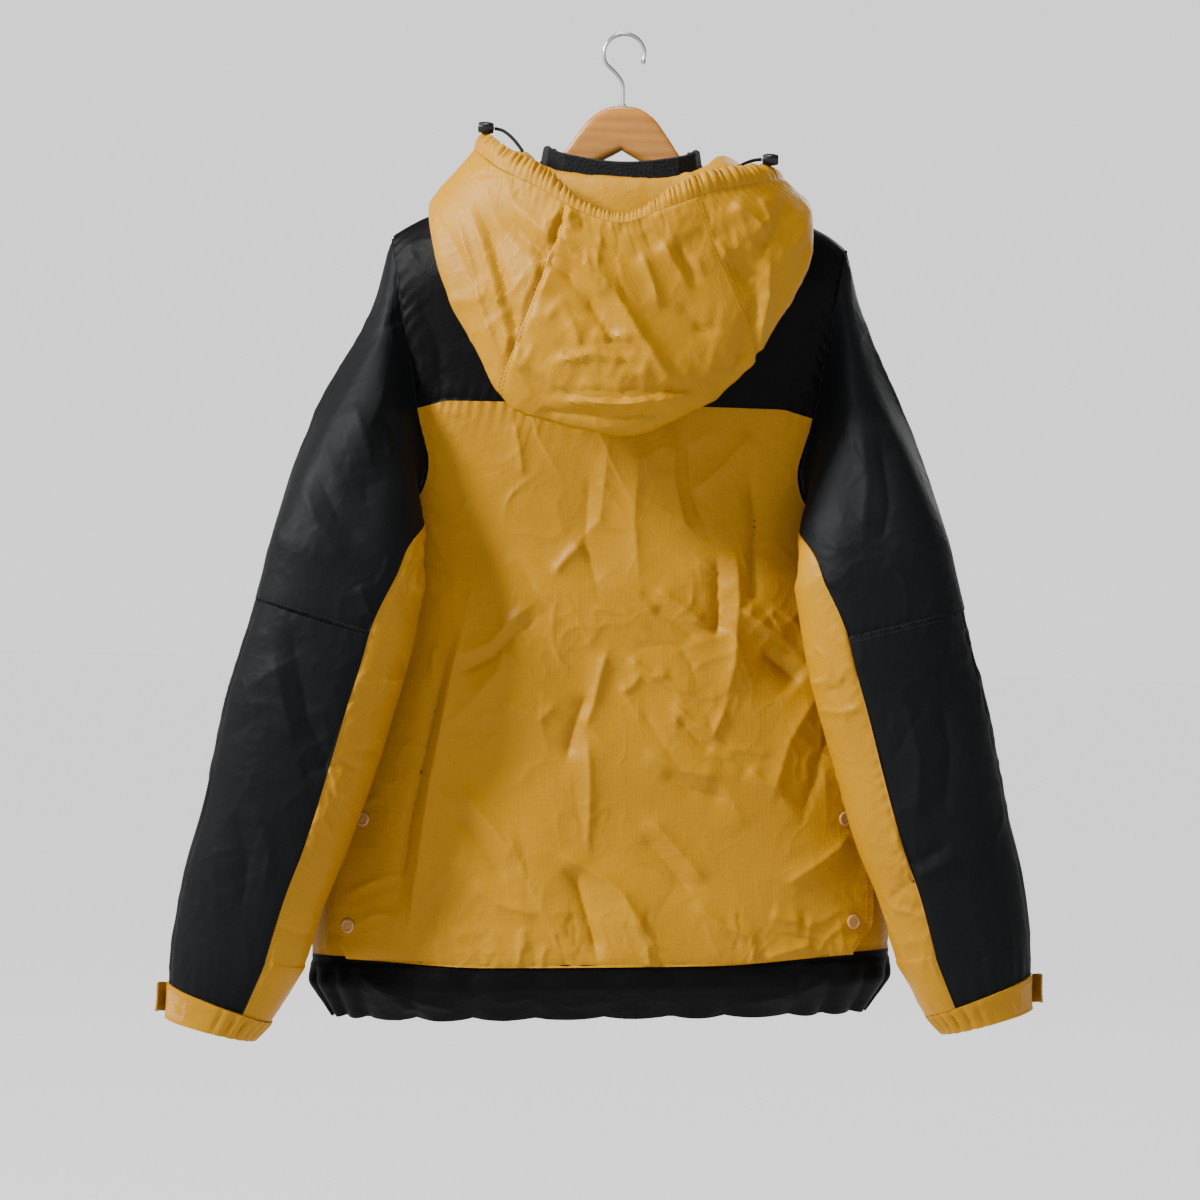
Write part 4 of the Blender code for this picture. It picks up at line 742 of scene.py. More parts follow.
def bump_node(tree, height, distance, strength, before=None):
    node = add_node(tree, "ShaderNodeBump", Distance=distance, Strength=strength)
    tree.links.new(height, node.inputs["Height"])
    if before is not None:
        tree.links.new(before, node.inputs["Normal"])
    return node.outputs["Normal"]


def mixed_color(tree, factor, low, high):
    ramp = tree.nodes.new("ShaderNodeValToRGB")
    ramp.color_ramp.elements[0].position = 0.30
    ramp.color_ramp.elements[1].position = 0.72
    ramp.color_ramp.elements[0].color = (*low, 1)
    ramp.color_ramp.elements[1].color = (*high, 1)
    tree.links.new(factor, ramp.inputs[0])
    return ramp.outputs[0]


def shell_material(name, low, high, rough, gloss, sheen, grid_mm, grid_depth, crinkle):
    """A woven shell: a grid of ripstop threads, fine weave between them, crinkles, mild colour change."""
    mat, tree, shader = nodes_of(name, rough)
    shader.inputs["Sheen Weight"].default_value = sheen
    shader.inputs["Sheen Roughness"].default_value = 0.45
    shader.inputs["Specular IOR Level"].default_value = gloss
    uv = tree.nodes.new("ShaderNodeUVMap")
    uv.uv_map = "cloth"
    split = tree.nodes.new("ShaderNodeSeparateXYZ")
    tree.links.new(uv.outputs[0], split.inputs[0])
    lines = []
    for axis in (0, 1):
        turned = math_node(tree, "MULTIPLY", split.outputs[axis], math.pi * 1000 / grid_mm)
        wave = math_node(tree, "ABSOLUTE", math_node(tree, "COSINE", turned))
        lines.append(math_node(tree, "POWER", wave, 26.0))
    grid = math_node(tree, "MAXIMUM", lines[0], lines[1])
    threads = []
    for axis in (0, 1):
        turned = math_node(tree, "MULTIPLY", split.outputs[axis], 2 * math.pi * 1000 / 0.55)
        threads.append(math_node(tree, "SINE", turned))
    weave = math_node(tree, "MULTIPLY", threads[0], threads[1])
    geometry = tree.nodes.new("ShaderNodeTexCoord")
    small = add_node(tree, "ShaderNodeTexNoise", Scale=150.0, Detail=4.0, Roughness=0.6)
    tree.links.new(geometry.outputs["Object"], small.inputs["Vector"])
    broad = add_node(tree, "ShaderNodeTexNoise", Scale=26.0, Detail=3.0, Roughness=0.55, Distortion=0.6)
    tree.links.new(geometry.outputs["Object"], broad.inputs["Vector"])
    tone = add_node(tree, "ShaderNodeTexNoise", Scale=7.0, Detail=2.0)
    tree.links.new(geometry.outputs["Object"], tone.inputs["Vector"])
    shade = math_node(tree, "ADD", math_node(tree, "MULTIPLY", tone.outputs[0], 0.75),
                      math_node(tree, "MULTIPLY", small.outputs[0], 0.25))
    shade = math_node(tree, "SUBTRACT", shade, math_node(tree, "MULTIPLY", grid, 0.10))
    tree.links.new(mixed_color(tree, shade, low, high), shader.inputs["Base Color"])
    normal = None
    for size, depth in ((24.0, 0.00100), (55.0, 0.00042)):
        field = add_node(tree, "ShaderNodeTexNoise", Scale=size, Detail=1.0, Roughness=0.4, Distortion=0.9)
        tree.links.new(geometry.outputs["Object"], field.inputs["Vector"])
        away = math_node(tree, "ABSOLUTE", math_node(tree, "SUBTRACT", field.outputs[0], 0.5))
        line = math_node(tree, "POWER", math_node(tree, "SUBTRACT", 1.0, away), 9.0)
        patchy = math_node(tree, "MULTIPLY", line, broad.outputs[0])
        normal = bump_node(tree, patchy, depth * crinkle, 0.5, normal)
    normal = bump_node(tree, small.outputs[0], 0.00016 * crinkle, 0.4, normal)
    normal = bump_node(tree, grid, grid_depth, 0.6, normal)
    normal = bump_node(tree, weave, 0.00003, 0.35, normal)
    tree.links.new(normal, shader.inputs["Normal"])
    return mat


def fleece_material():
    mat, tree, shader = nodes_of("fleece_pile", 0.95)
    shader.inputs["Sheen Weight"].default_value = 0.05
    shader.inputs["Sheen Roughness"].default_value = 0.6
    shader.inputs["Specular IOR Level"].default_value = 0.08
    where = tree.nodes.new("ShaderNodeTexCoord")
    pile = add_node(tree, "ShaderNodeTexNoise", Scale=900.0, Detail=3.0, Roughness=0.7)
    tuft = add_node(tree, "ShaderNodeTexVoronoi", Scale=420.0)
    for node in (pile, tuft):
        tree.links.new(where.outputs["Object"], node.inputs["Vector"])
    tree.links.new(mixed_color(tree, pile.outputs[0], (0.002, 0.002, 0.002), (0.007, 0.007, 0.0074)),
                   shader.inputs["Base Color"])
    normal = bump_node(tree, tuft.outputs["Distance"], 0.0008, 0.8)
    tree.links.new(bump_node(tree, pile.outputs[0], 0.0004, 0.7, normal), shader.inputs["Normal"])
    return mat


def wood_material():
    mat, tree, shader = nodes_of("hanger_wood_grain", 0.38)
    shader.inputs["Coat Weight"].default_value = 0.25
    shader.inputs["Coat Roughness"].default_value = 0.2
    where = tree.nodes.new("ShaderNodeTexCoord")
    stretch = tree.nodes.new("ShaderNodeMapping")
    stretch.inputs["Scale"].default_value = (5.0, 60.0, 60.0)
    stretch.inputs["Rotation"].default_value = (0.0, math.radians(6), 0.0)
    tree.links.new(where.outputs["Object"], stretch.inputs["Vector"])
    fibre = add_node(tree, "ShaderNodeTexNoise", Scale=3.2, Detail=6.0, Roughness=0.62, Distortion=0.7)
    tree.links.new(stretch.outputs[0], fibre.inputs["Vector"])
    ring = add_node(tree, "ShaderNodeTexWave", Scale=0.55, Distortion=5.0, Detail=2.0, Detail_Scale=1.2)
    ring.bands_direction = "Z"
    tree.links.new(stretch.outputs[0], ring.inputs["Vector"])
    mix = math_node(tree, "ADD", math_node(tree, "MULTIPLY", fibre.outputs[0], 0.78),
                    math_node(tree, "MULTIPLY", ring.outputs["Fac"], 0.14))
    tree.links.new(mixed_color(tree, mix, (0.270, 0.098, 0.008), (0.390, 0.165, 0.020)),
                   shader.inputs["Base Color"])
    tree.links.new(bump_node(tree, fibre.outputs[0], 0.0002, 0.4), shader.inputs["Normal"])
    return mat


def simple_material(name, color, rough, metal=0.0, grain=0.0002, scale=500.0, spread=0.25, gloss=0.5):
    """Moulded, knitted or drawn material: one colour with slight change and a fine uneven surface."""
    mat, tree, shader = nodes_of(name, rough, metal)
    shader.inputs["Specular IOR Level"].default_value = gloss
    where = tree.nodes.new("ShaderNodeTexCoord")
    speck = add_node(tree, "ShaderNodeTexNoise", Scale=scale, Detail=3.0, Roughness=0.6)
    tree.links.new(where.outputs["Object"], speck.inputs["Vector"])
    low = tuple(c * (1 - spread) for c in color)
    high = tuple(min(1.0, c * (1 + spread)) for c in color)
    tree.links.new(mixed_color(tree, speck.outputs[0], low, high), shader.inputs["Base Color"])
    tree.links.new(bump_node(tree, speck.outputs[0], grain, 0.6), shader.inputs["Normal"])
    return mat


YELLOW_SHELL = shell_material("yellow_ripstop", YELLOW_DEEP, YELLOW, 0.44, 0.14, 0.0, 4.0, 0.00010, 1.2)
BLACK_SHELL = shell_material("black_ripstop", (0.0010, 0.0010, 0.0011), BLACK, 0.50, 0.06, 0.0, 4.0, 0.00008,
                             1.0)
SLEEVE_SHELL = shell_material("charcoal_ripstop", (0.0030, 0.0036, 0.0041), CHARCOAL, 0.56, 0.07, 0.0, 2.4,
                              0.00003, 0.9)
LINING = simple_material("black_lining", (0.005, 0.005, 0.006), 0.5, 0.0, 0.00006, 900.0, 0.2, 0.15)
FLEECE = fleece_material()
WOOD = wood_material()
STEEL = simple_material("hook_steel", (0.42, 0.43, 0.45), 0.28, 1.0, 0.00002, 900.0, 0.08)
CORD = simple_material("black_cord_braid", (0.004, 0.004, 0.004), 0.75, 0.0, 0.0003, 1400.0, 0.4, 0.15)
PLASTIC = simple_material("black_moulded", (0.004, 0.004, 0.004), 0.36, 0.0, 0.00003, 700.0, 0.15, 0.3)
SNAP_TAN = simple_material("tan_snap", (0.360, 0.180, 0.050), 0.40, 0.0, 0.00003, 600.0, 0.08)
HOOK_TAN = simple_material("tan_hook_tape", (0.360, 0.165, 0.020), 0.85, 0.0, 0.0010, 950.0, 0.30)
TEETH = simple_material("zip_coil", (0.010, 0.010, 0.010), 0.34, 0.0, 0.00003, 700.0, 0.15)
TAPE = simple_material("black_zip_tape", (0.010, 0.010, 0.010), 0.80, 0.0, 0.0003, 1500.0, 0.35)
THREAD_YELLOW = simple_material("yellow_thread", (0.380, 0.170, 0.002), 0.6, 0.0, 0.0001, 2500.0, 0.2,
                                0.1)
THREAD_BLACK = simple_material("black_thread", (0.004, 0.004, 0.004), 0.7, 0.0, 0.0001, 2500.0, 0.2, 0.1)
THREAD_GREY = simple_material("grey_thread", (0.012, 0.014, 0.016), 0.7, 0.0, 0.0001, 2500.0, 0.2, 0.1)

# ---- noise and picture coordinates -------------------------------------------------------------------------
RNG = np.random.default_rng(41)
PERM = np.tile(RNG.permutation(256), 2)
GRADS = RNG.normal(size=(256, 3))
GRADS /= np.linalg.norm(GRADS, axis=1)[:, None]


def perlin(points, size, seed=0.0):
    """Gradient noise, about -0.6 to 0.6, whose lumps are size metres across."""
    p = points.reshape(-1, 3) / size + seed
    cell = np.floor(p).astype(int)
    f = p - cell
    u = f * f * f * (f * (f * 6 - 15) + 10)
    total = np.zeros(len(p))
    for dx in (0, 1):
        for dy in (0, 1):
            for dz in (0, 1):
                corner = (cell + (dx, dy, dz)) & 255
                index = PERM[PERM[PERM[corner[:, 0]] + corner[:, 1]] + corner[:, 2]]
                dots = np.einsum("ij,ij->i", GRADS[index], f - (dx, dy, dz))
                weight = (np.where(dx, u[:, 0], 1 - u[:, 0]) * np.where(dy, u[:, 1], 1 - u[:, 1])
                          * np.where(dz, u[:, 2], 1 - u[:, 2]))
                total += weight * dots
    return total.reshape(points.shape[:-1])


def picture(points):
    """Where world points show, in pixels of the 1200 pixel picture."""
    spread = CAMERA_AT[1] / (CAMERA_AT[1] - points[..., 1])
    x = CAMERA_AT[0] + (points[..., 0] - CAMERA_AT[0]) * spread
    z = CAMERA_AT[2] + (points[..., 2] - CAMERA_AT[2]) * spread
    a, b = -x / PIXEL, -z / PIXEL
    return (HOOK_PX[0] + a * math.cos(ROLL) - b * math.sin(ROLL),
            HOOK_PX[1] + a * math.sin(ROLL) + b * math.cos(ROLL))


def smooth_array(low, high, values):
    f = np.clip((values - low) / (high - low), 0, 1)
    return f * f * (3 - 2 * f)


CREST = 0.7


def small_creases(seed, count, area, lean, spread, length, width, height):
    """Random short creases in an area of the picture. lean and spread are degrees from level."""
    rng = np.random.default_rng(seed)
    found = []
    for _ in range(count):
        x, y = rng.uniform(area[0], area[2]), rng.uniform(area[1], area[3])
        turn = math.radians(rng.normal(lean, spread))
        run = rng.uniform(*length) / 2
        bow = rng.uniform(-0.22, 0.22) * run
        dx, dy = math.cos(turn), math.sin(turn)
        points = ((x - dx * run, y - dy * run), (x - dy * bow, y + dx * bow), (x + dx * run, y + dy * run))
        kind = ("ridge", "trough", "fold")[rng.integers(0, 3)]
        found.append((kind, rng.uniform(*width), rng.uniform(*height), points))
    return found


def crease_lift(px, py, creases, slim=1.0):
    """Height in metres that creases add at picture places. Each has kind, width px, height mm, points."""
    total = np.zeros(px.shape)
    for kind, width, height, points in creases:
        best = np.full(px.shape, 1e9)
        side = np.zeros(px.shape)
        place = np.zeros(px.shape)
        lengths = [math.dist(a, b) for a, b in zip(points[:-1], points[1:])]
        whole = sum(lengths)
        gone = 0.0
        for (ax, ay), (bx, by), length in zip(points[:-1], points[1:], lengths):
            ux, uy = (bx - ax) / length, (by - ay) / length
            along = np.clip((px - ax) * ux + (py - ay) * uy, 0, length)
            dx, dy = px - ax - along * ux, py - ay - along * uy
            distance = np.hypot(dx, dy)
            nearer = distance < best
            best = np.where(nearer, distance, best)
            side = np.where(nearer, np.sign(ux * dy - uy * dx), side)
            place = np.where(nearer, (gone + along) / whole, place)
            gone += length
        fade = smooth_array(0, 0.22, place) * smooth_array(0, 0.22, 1 - place)
        fade = 0.12 + 0.88 * fade
        reach = slim * (np.where(side > 0, width * 0.30, width * 1.6) if kind == "fold" else width)
        shape = np.exp((CREST - np.hypot(best, CREST)) / reach)
        total += height * 0.001 * fade * shape * (-1 if kind == "trough" else 1)
    return total


# ---- cloth from grids --------------------------------------------------------------------------------------
def upsample(grid, down, across):
    """A smooth finer grid through the points of grid."""
    for axis, count in ((0, down), (1, across)):
        if count == 1:
            continue
        g = np.moveaxis(grid, axis, 0)
        g = np.concatenate([2 * g[:1] - g[1:2], g, 2 * g[-1:] - g[-2:-1]])
        p0, p1, p2, p3 = g[:-3], g[1:-2], g[2:-1], g[3:]
        parts = []
        for k in range(count):
            f = k / count
            parts.append(0.5 * (2 * p1 + (p2 - p0) * f + (2 * p0 - 5 * p1 + 4 * p2 - p3) * f**2
                                + (3 * p1 - p0 - 3 * p2 + p3) * f**3))
        fine = np.stack(parts, axis=1).reshape(-1, *g.shape[1:])
        fine = np.concatenate([fine, g[-2:-1]])
        grid = np.moveaxis(fine, 0, axis)
    return grid


def grid_normals(grid, outward, at):
    """Unit normals of a grid, turned so that they agree with the outward way at a share of the way down."""
    across = np.gradient(grid, axis=1)
    down = np.gradient(grid, axis=0)
    normal = np.cross(down, across)
    normal /= np.maximum(1e-12, np.linalg.norm(normal, axis=-1))[..., None]
    middle = normal[int((grid.shape[0] - 1) * at), grid.shape[1] // 2]
    return normal if np.dot(middle, outward) > 0 else -normal


def run_lengths(grid, axis):
    steps = np.linalg.norm(np.diff(grid, axis=axis), axis=-1)
    zero = np.zeros_like(np.take(steps, [0], axis=axis))
    return np.cumsum(np.concatenate([zero, steps], axis=axis), axis=axis)


def close_gap(grid, sides):
    """Pulls the named edges in by half a seam gap."""
    pulls = {"top": (grid[0], grid[1]), "bottom": (grid[-1], grid[-2]), "left": (grid[:, 0], grid[:, 1]),
             "right": (grid[:, -1], grid[:, -2])}
    for side in sides:
        edge, inside = pulls[side]
        way = inside - edge
        edge += way / np.maximum(1e-9, np.linalg.norm(way, axis=-1))[..., None] * HALF_GAP
    return grid


class Cloth:
    """A fine grid with its normals, lengths and the lift it will get."""

    def __init__(self, grid, down, across, outward, gaps=(), at=0.5):
        grid = np.array(grid, float)
        self.grid = close_gap(upsample(grid, down, across), gaps)
        self.normal = grid_normals(self.grid, outward, at)
        self.u = run_lengths(self.grid, 1)
        self.v = run_lengths(self.grid, 0)
        self.px, self.py = picture(self.grid)
        self.facing = smooth_array(0.0, 0.30, self.normal[..., 1])
        self.lift = np.zeros(self.grid.shape[:2])

    def edge(self, side):
        """Distance from an edge and the run along it."""
        if side == "top":
            return self.v, self.u
        if side == "bottom":
            return self.v[-1:] - self.v, self.u
        if side == "left":
            return self.u, self.v
        return self.u[:, -1:] - self.u, self.v

    def crease(self, creases, scale=1.0, slim=1.0):
        self.lift += crease_lift(self.px, self.py, creases, slim) * self.facing * scale
        return self

    def crumple(self, broad, ridges, size=0.030, seed=0.0):
        """Soft unevenness in mm at 90 mm, and sharp small ridges in mm at the given size."""
        self.lift += 0.001 * broad * 2 * perlin(self.grid, 0.090, 3.1 + seed)
        for part, (scale, share) in enumerate(((1.0, 1.0), (0.55, 0.55))):
            bend = self.grid + 0.35 * size * np.stack([perlin(self.grid, 1.7 * size, 5.0 * k + seed + part)
                                                       for k in range(3)], axis=-1) * 2
            sharp = 1 - np.abs(perlin(bend, size * scale, 17.3 + seed + 9 * part)) * 3.2
            patch = smooth_array(-0.10, 0.30, perlin(self.grid, 0.085, 29.7 + seed + 4 * part))
            self.lift += 0.001 * ridges * share * np.clip(sharp, 0, 1) ** 2.2 * patch
        return self

    def pucker(self, side, wave, height, reach, seed=0.0):
        """Small gathers across a seam, height mm, dying away over reach metres."""
        distance, along = self.edge(side)
        turned = along / wave + 0.55 * np.sin(along / 0.031 + seed) + 0.3 * np.sin(along / 0.013 + 2 * seed)
        strength = 0.65 + 0.35 * np.sin(along / 0.047 + seed)
        self.lift += 0.001 * height * np.sin(2 * math.pi * turned) * strength * np.exp(-distance / reach)
        return self

    def dip(self, side, height, reach):
        """The cloth rolls down into a seam."""
        distance, _ = self.edge(side)
        self.lift -= 0.001 * height * np.exp(-(distance / reach) ** 1.3)
        return self

    def hold(self, side, reach):
        """No lift right at an edge."""
        distance, _ = self.edge(side)
        self.lift *= smooth_array(0, reach, distance)
        return self

    def settled(self):
        self.grid = self.grid + self.normal * self.lift[..., None]
        return self


def mesh_from(name, verts, quads, uv=None, others=()):
    """A mesh of quads, and of others with more corners."""
    mesh = bpy.data.meshes.new(name)
    verts = np.asarray(verts, float).reshape(-1, 3)
    quads = np.asarray(quads, int).reshape(-1, 4)
    loops = np.concatenate([quads.ravel()] + [np.asarray(face, int) for face in others])
    totals = np.array([4] * len(quads) + [len(face) for face in others])
    mesh.vertices.add(len(verts))
    mesh.vertices.foreach_set("co", verts.ravel())
    mesh.loops.add(len(loops))
    mesh.loops.foreach_set("vertex_index", loops)
    mesh.polygons.add(len(totals))
    mesh.polygons.foreach_set("loop_start", np.cumsum(totals) - totals)
    mesh.polygons.foreach_set("loop_total", totals)
    if uv is not None:
        layer = mesh.uv_layers.new(name="cloth")
        layer.data.foreach_set("uv", np.asarray(uv, float).reshape(-1, 2)[loops].ravel())
    mesh.update(calc_edges=True)
    mesh.validate()
    return mesh


def finish_piece(name, mesh, mat, body="jacket", replaced=(), sharp=50):
    mesh.materials.append(mat)
    mesh.shade_smooth()
    mesh.set_sharp_from_angle(angle=math.radians(sharp))
    piece = bpy.data.objects.new(name, mesh)
    bpy.context.scene.collection.objects.link(piece)
    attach(piece, body)
    for node in replaced:
        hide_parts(node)
    return piece


def cloth_size(grid):
    """A cloth's longest way over, longest way down and area, laid flat."""
    coarse = grid[::8, ::8]
    length = np.linalg.norm(np.diff(coarse, axis=0), axis=2).sum(axis=0).max() * (len(grid) - 1)
    width = np.linalg.norm(np.diff(coarse, axis=1), axis=2).sum(axis=1).max() * (grid.shape[1] - 1)
    length /= (len(coarse) - 1) * 8
    width /= (coarse.shape[1] - 1) * 8
    down = np.diff(grid, axis=0)
    over = np.diff(grid, axis=1)
    area = np.linalg.norm(np.cross(down[:, :-1], over[:-1]), axis=2).sum() / 2
    area += np.linalg.norm(np.cross(down[:, 1:], over[1:]), axis=2).sum() / 2
    return width, max(length, area / width), area


def cut_from(grid):
    width, length, area = cloth_size(grid)


COARSE = 3


def spaced(count):
    """Every third place of a line, its last one among them."""
    places = list(range(0, count - 1, COARSE))
    return places + [count - 1]


def shell(name, cloth, thick, mat, node, ring=False, lining=False):
    """A closed thin wall from a settled cloth. Its hidden side has a third of the rows and columns."""
    rows, cols = cloth.grid.shape[:2]
    down, over = spaced(rows), spaced(cols)
    hidden = (cloth.grid - cloth.normal * thick)[np.ix_(down, over)]
    fine = np.arange(rows * cols).reshape(rows, cols)
    rough = rows * cols + np.arange(len(down) * len(over)).reshape(len(down), len(over))
    if ring:
        fine[:, -1] = fine[:, 0]
        rough[:, -1] = rough[:, 0]
    top = np.stack([fine[:-1, :-1], fine[1:, :-1], fine[1:, 1:], fine[:-1, 1:]], axis=-1).reshape(-1, 4)
    low = np.stack([rough[:-1, :-1], rough[:-1, 1:], rough[1:, 1:], rough[1:, :-1]], axis=-1).reshape(-1, 4)
    rims = []
    for edge, inner, marks, flip in ((fine[0], rough[0], over, False), (fine[-1], rough[-1], over, True),
                                     (fine[:, 0], rough[:, 0], down, True),
                                     (fine[:, -1], rough[:, -1], down, False)):
        if ring and marks is down:
            continue
        for k, (a, b) in enumerate(zip(marks[:-1], marks[1:])):
            face = [int(v) for v in edge[a:b + 1]] + [int(inner[k + 1]), int(inner[k])]
            rims.append(face[::-1] if flip else face)
    uv = np.stack([cloth.u, cloth.v], axis=-1)
    uv = np.concatenate([uv.reshape(-1, 2), uv[np.ix_(down, over)].reshape(-1, 2)])
    verts = np.concatenate([cloth.grid.reshape(-1, 3), hidden.reshape(-1, 3)])
    quads = np.concatenate([top, low])
    first = top[len(top) // 2 + cols // 2]
    face = np.cross(verts[first[1]] - verts[first[0]], verts[first[3]] - verts[first[0]])
    if np.dot(face, cloth.normal.reshape(-1, 3)[first[0]]) < 0:
        quads = quads[:, ::-1]
        rims = [rim[::-1] for rim in rims]
    mesh = mesh_from(name, verts, quads, uv, rims)
    if lining:
        marks = np.zeros(len(mesh.polygons), dtype=np.int32)
        marks[len(top):len(quads)] = 1
        mesh.polygons.foreach_set("material_index", marks)
    if ring:
        bm = bmesh.new()
        bm.from_mesh(mesh)
        loose = [v for v in bm.verts if not v.link_faces]
        bmesh.ops.delete(bm, geom=loose, context="VERTS")
        bm.to_mesh(mesh)
        bm.free()
    piece = finish_piece(name, mesh, mat, replaced=(node,))
    if lining:
        mesh.materials.append(LINING)
    cut_from(cloth.grid)


STITCH = 0.0030
STITCH_GAP = 0.0011
THREAD = 0.00032


def stitch_points(cloth, side, away):
    """A line of places and normals on a settled cloth, the same distance from one of its edges."""
    distance, _ = cloth.edge(side)
    grid, normal = cloth.grid, cloth.normal
    if side in ("left", "right"):
        grid, normal, distance = grid.swapaxes(0, 1), normal.swapaxes(0, 1), distance.swapaxes(0, 1)
    if side in ("bottom", "right"):
        grid, normal, distance = grid[::-1], normal[::-1], distance[::-1]
    line, ways = [], []
    for column in range(grid.shape[1]):
        line.append([np.interp(away, distance[:, column], grid[:, column, axis]) for axis in range(3)])
        ways.append([np.interp(away, distance[:, column], normal[:, column, axis]) for axis in range(3)])
    return np.array(line), np.array(ways)


def stitches(lines):
    """Short thread capsules along each line, as verts and quads."""
    verts, quads = [], []
    for line, ways in lines:
        run = np.concatenate([[0], np.cumsum(np.linalg.norm(np.diff(line, axis=0), axis=1))])
        starts = np.arange(0.002, run[-1] - STITCH, STITCH + STITCH_GAP)
        for start in starts:
            ends = []
            for place in (start, start + STITCH / 2, start + STITCH):
                ends.append([np.array([np.interp(place, run, source[:, axis]) for axis in range(3)])
                             for source in (line, ways)])
            along = unit(ends[2][0] - ends[0][0])
            base = len(verts)
            for (point, way), lift, wide in zip(ends, (0.00000, 0.00030, 0.00000), (0.5, 1.0, 0.5)):
                way = unit(way)
                cross = unit(np.cross(along, way))
                middle = point + way * (lift + 0.00005)
                for c, s in ((1, 0), (0, 1), (-1, 0), (0, -1)):
                    verts.append(middle + cross * (THREAD * c * wide) + way * (THREAD * s * wide))
            for ring in (0, 4):
                for k in range(4):
                    m = (k + 1) % 4
                    quads.append((base + ring + k, base + ring + m, base + ring + 4 + m, base + ring + 4 + k))
            quads.append((base + 3, base + 2, base + 1, base))
            quads.append((base + 8, base + 9, base + 10, base + 11))
    return verts, quads


def make_stitches(name, lines, mat):
    verts, quads = stitches(lines)
    return finish_piece(name, mesh_from(name, verts, quads), mat)


# ---- creases of the back view, in picture pixels -----------------------------------------------------------
BACK_CREASES = [  # kind, width px, height mm, points
    ("ridge", 7, 1.6, ((514, 419), (520, 450), (523, 480))),
    ("ridge", 8, 2.0, ((674, 421), (674, 478), (684, 523), (700, 540))),
    ("trough", 7, 1.6, ((688, 440), (692, 490), (700, 520))),
    ("ridge", 9, 1.8, ((757, 430), (728, 462), (690, 495))),
    ("ridge", 7, 2.2, ((552, 575), (568, 556), (584, 543))),
    ("ridge", 9, 2.6, ((537, 600), (510, 622), (491, 643), (448, 661))),
    ("trough", 8, 2.2, ((545, 612), (515, 634), (495, 656), (455, 676))),
    ("ridge", 10, 2.4, ((507, 633), (500, 670), (475, 700), (445, 730))),
    ("ridge", 12, 3.0, ((735, 545), (738, 600), (734, 660), (726, 700))),
    ("trough", 9, 4.0, ((717, 556), (718, 600), (716, 640))),
    ("trough", 8, 2.4, ((751, 470), (755, 530), (752, 610))),
    ("fold", 12, 3.0, ((738, 606), (765, 628), (790, 645))),
    ("trough", 14, 4.4, ((760, 648), (782, 666), (803, 684))),
    ("ridge", 8, 2.4, ((670, 700), (692, 722), (713, 735), (728, 702))),
    ("trough", 7, 2.2, ((676, 716), (700, 742), (716, 752))),
    ("ridge", 7, 2.0, ((627, 656), (640, 668), (652, 676), (673, 675))),
    ("ridge", 7, 1.8, ((619, 694), (632, 686), (642, 673))),
    ("ridge", 9, 2.2, ((653, 588), (680, 606), (708, 627))),
    ("trough", 8, 1.8, ((650, 604), (676, 622), (700, 642))),
    ("ridge", 10, 3.0, ((609, 646), (600, 676), (594, 702), (583, 733))),
    ("trough", 10, 3.0, ((588, 690), (574, 728), (565, 763))),
    ("ridge", 9, 2.2, ((587, 733), (590, 780), (588, 860))),
    ("ridge", 10, 3.0, ((553, 850), (583, 867), (606, 880), (624, 896), (650, 942))),
    ("trough", 11, 4.0, ((560, 866), (576, 880), (588, 920), (599, 965))),
    ("ridge", 10, 2.2, ((645, 814), (676, 848), (708, 886))),
    ("trough", 9, 1.8, ((640, 832), (668, 864), (694, 898))),
    ("ridge", 8, 2.0, ((746, 768), (764, 782), (785, 791))),
    ("ridge", 9, 2.2, ((458, 784), (488, 822), (522, 865))),
    ("trough", 8, 1.8, ((452, 806), (480, 844), (508, 884))),
    ("ridge", 8, 2.2, ((850, 832), (838, 848), (821, 861), (783, 886))),
    ("ridge", 8, 2.0, ((769, 913), (786, 920), (804, 922))),
    ("ridge", 8, 2.0, ((763, 958), (786, 952), (814, 944))),
    ("ridge", 10, 3.4, ((470, 600), (448, 700), (430, 790), (420, 860), (411, 917), (400, 958))),
    ("trough", 8, 3.0, ((452, 640), (430, 730), (410, 820), (398, 900))),
    ("ridge", 12, 1.6, ((610, 430), (600, 520), (560, 560))),
    ("ridge", 13, 1.8, ((640, 440), (634, 520), (640, 590))),
    ("trough", 12, 1.6, ((590, 470), (585, 540), (600, 600))),
    ("ridge", 12, 2.0, ((820, 690), (790, 740), (770, 800))),
    ("trough", 10, 2.0, ((842, 700), (820, 760), (800, 830))),
    ("ridge", 9, 2.0, ((820, 600), (832, 650), (846, 700))),
    ("ridge", 10, 2.0, ((690, 900), (720, 925), (760, 940))),
    ("ridge", 9, 1.8, ((500, 700), (540, 720), (560, 700))),
    ("ridge", 9, 1.8, ((470, 880), (500, 905), (540, 915))),
    ("trough", 9, 2.0, ((660, 770), (690, 790), (730, 800))),
    ("ridge", 9, 1.8, ((640, 752), (680, 770), (724, 778))),
]
YOKE_CREASES = [
    ("ridge", 9, 1.4, ((400, 300), (420, 350), (424, 400))),
    ("trough", 9, 1.4, ((416, 290), (438, 345), (442, 395))),
    ("ridge", 10, 1.4, ((800, 250), (820, 320), (806, 400))),
    ("trough", 8, 1.2, ((840, 280), (850, 340), (838, 400))),
    ("ridge", 12, 1.2, ((470, 330), (500, 385), (560, 408))),
    ("ridge", 12, 1.2, ((760, 330), (730, 380), (690, 412))),
]
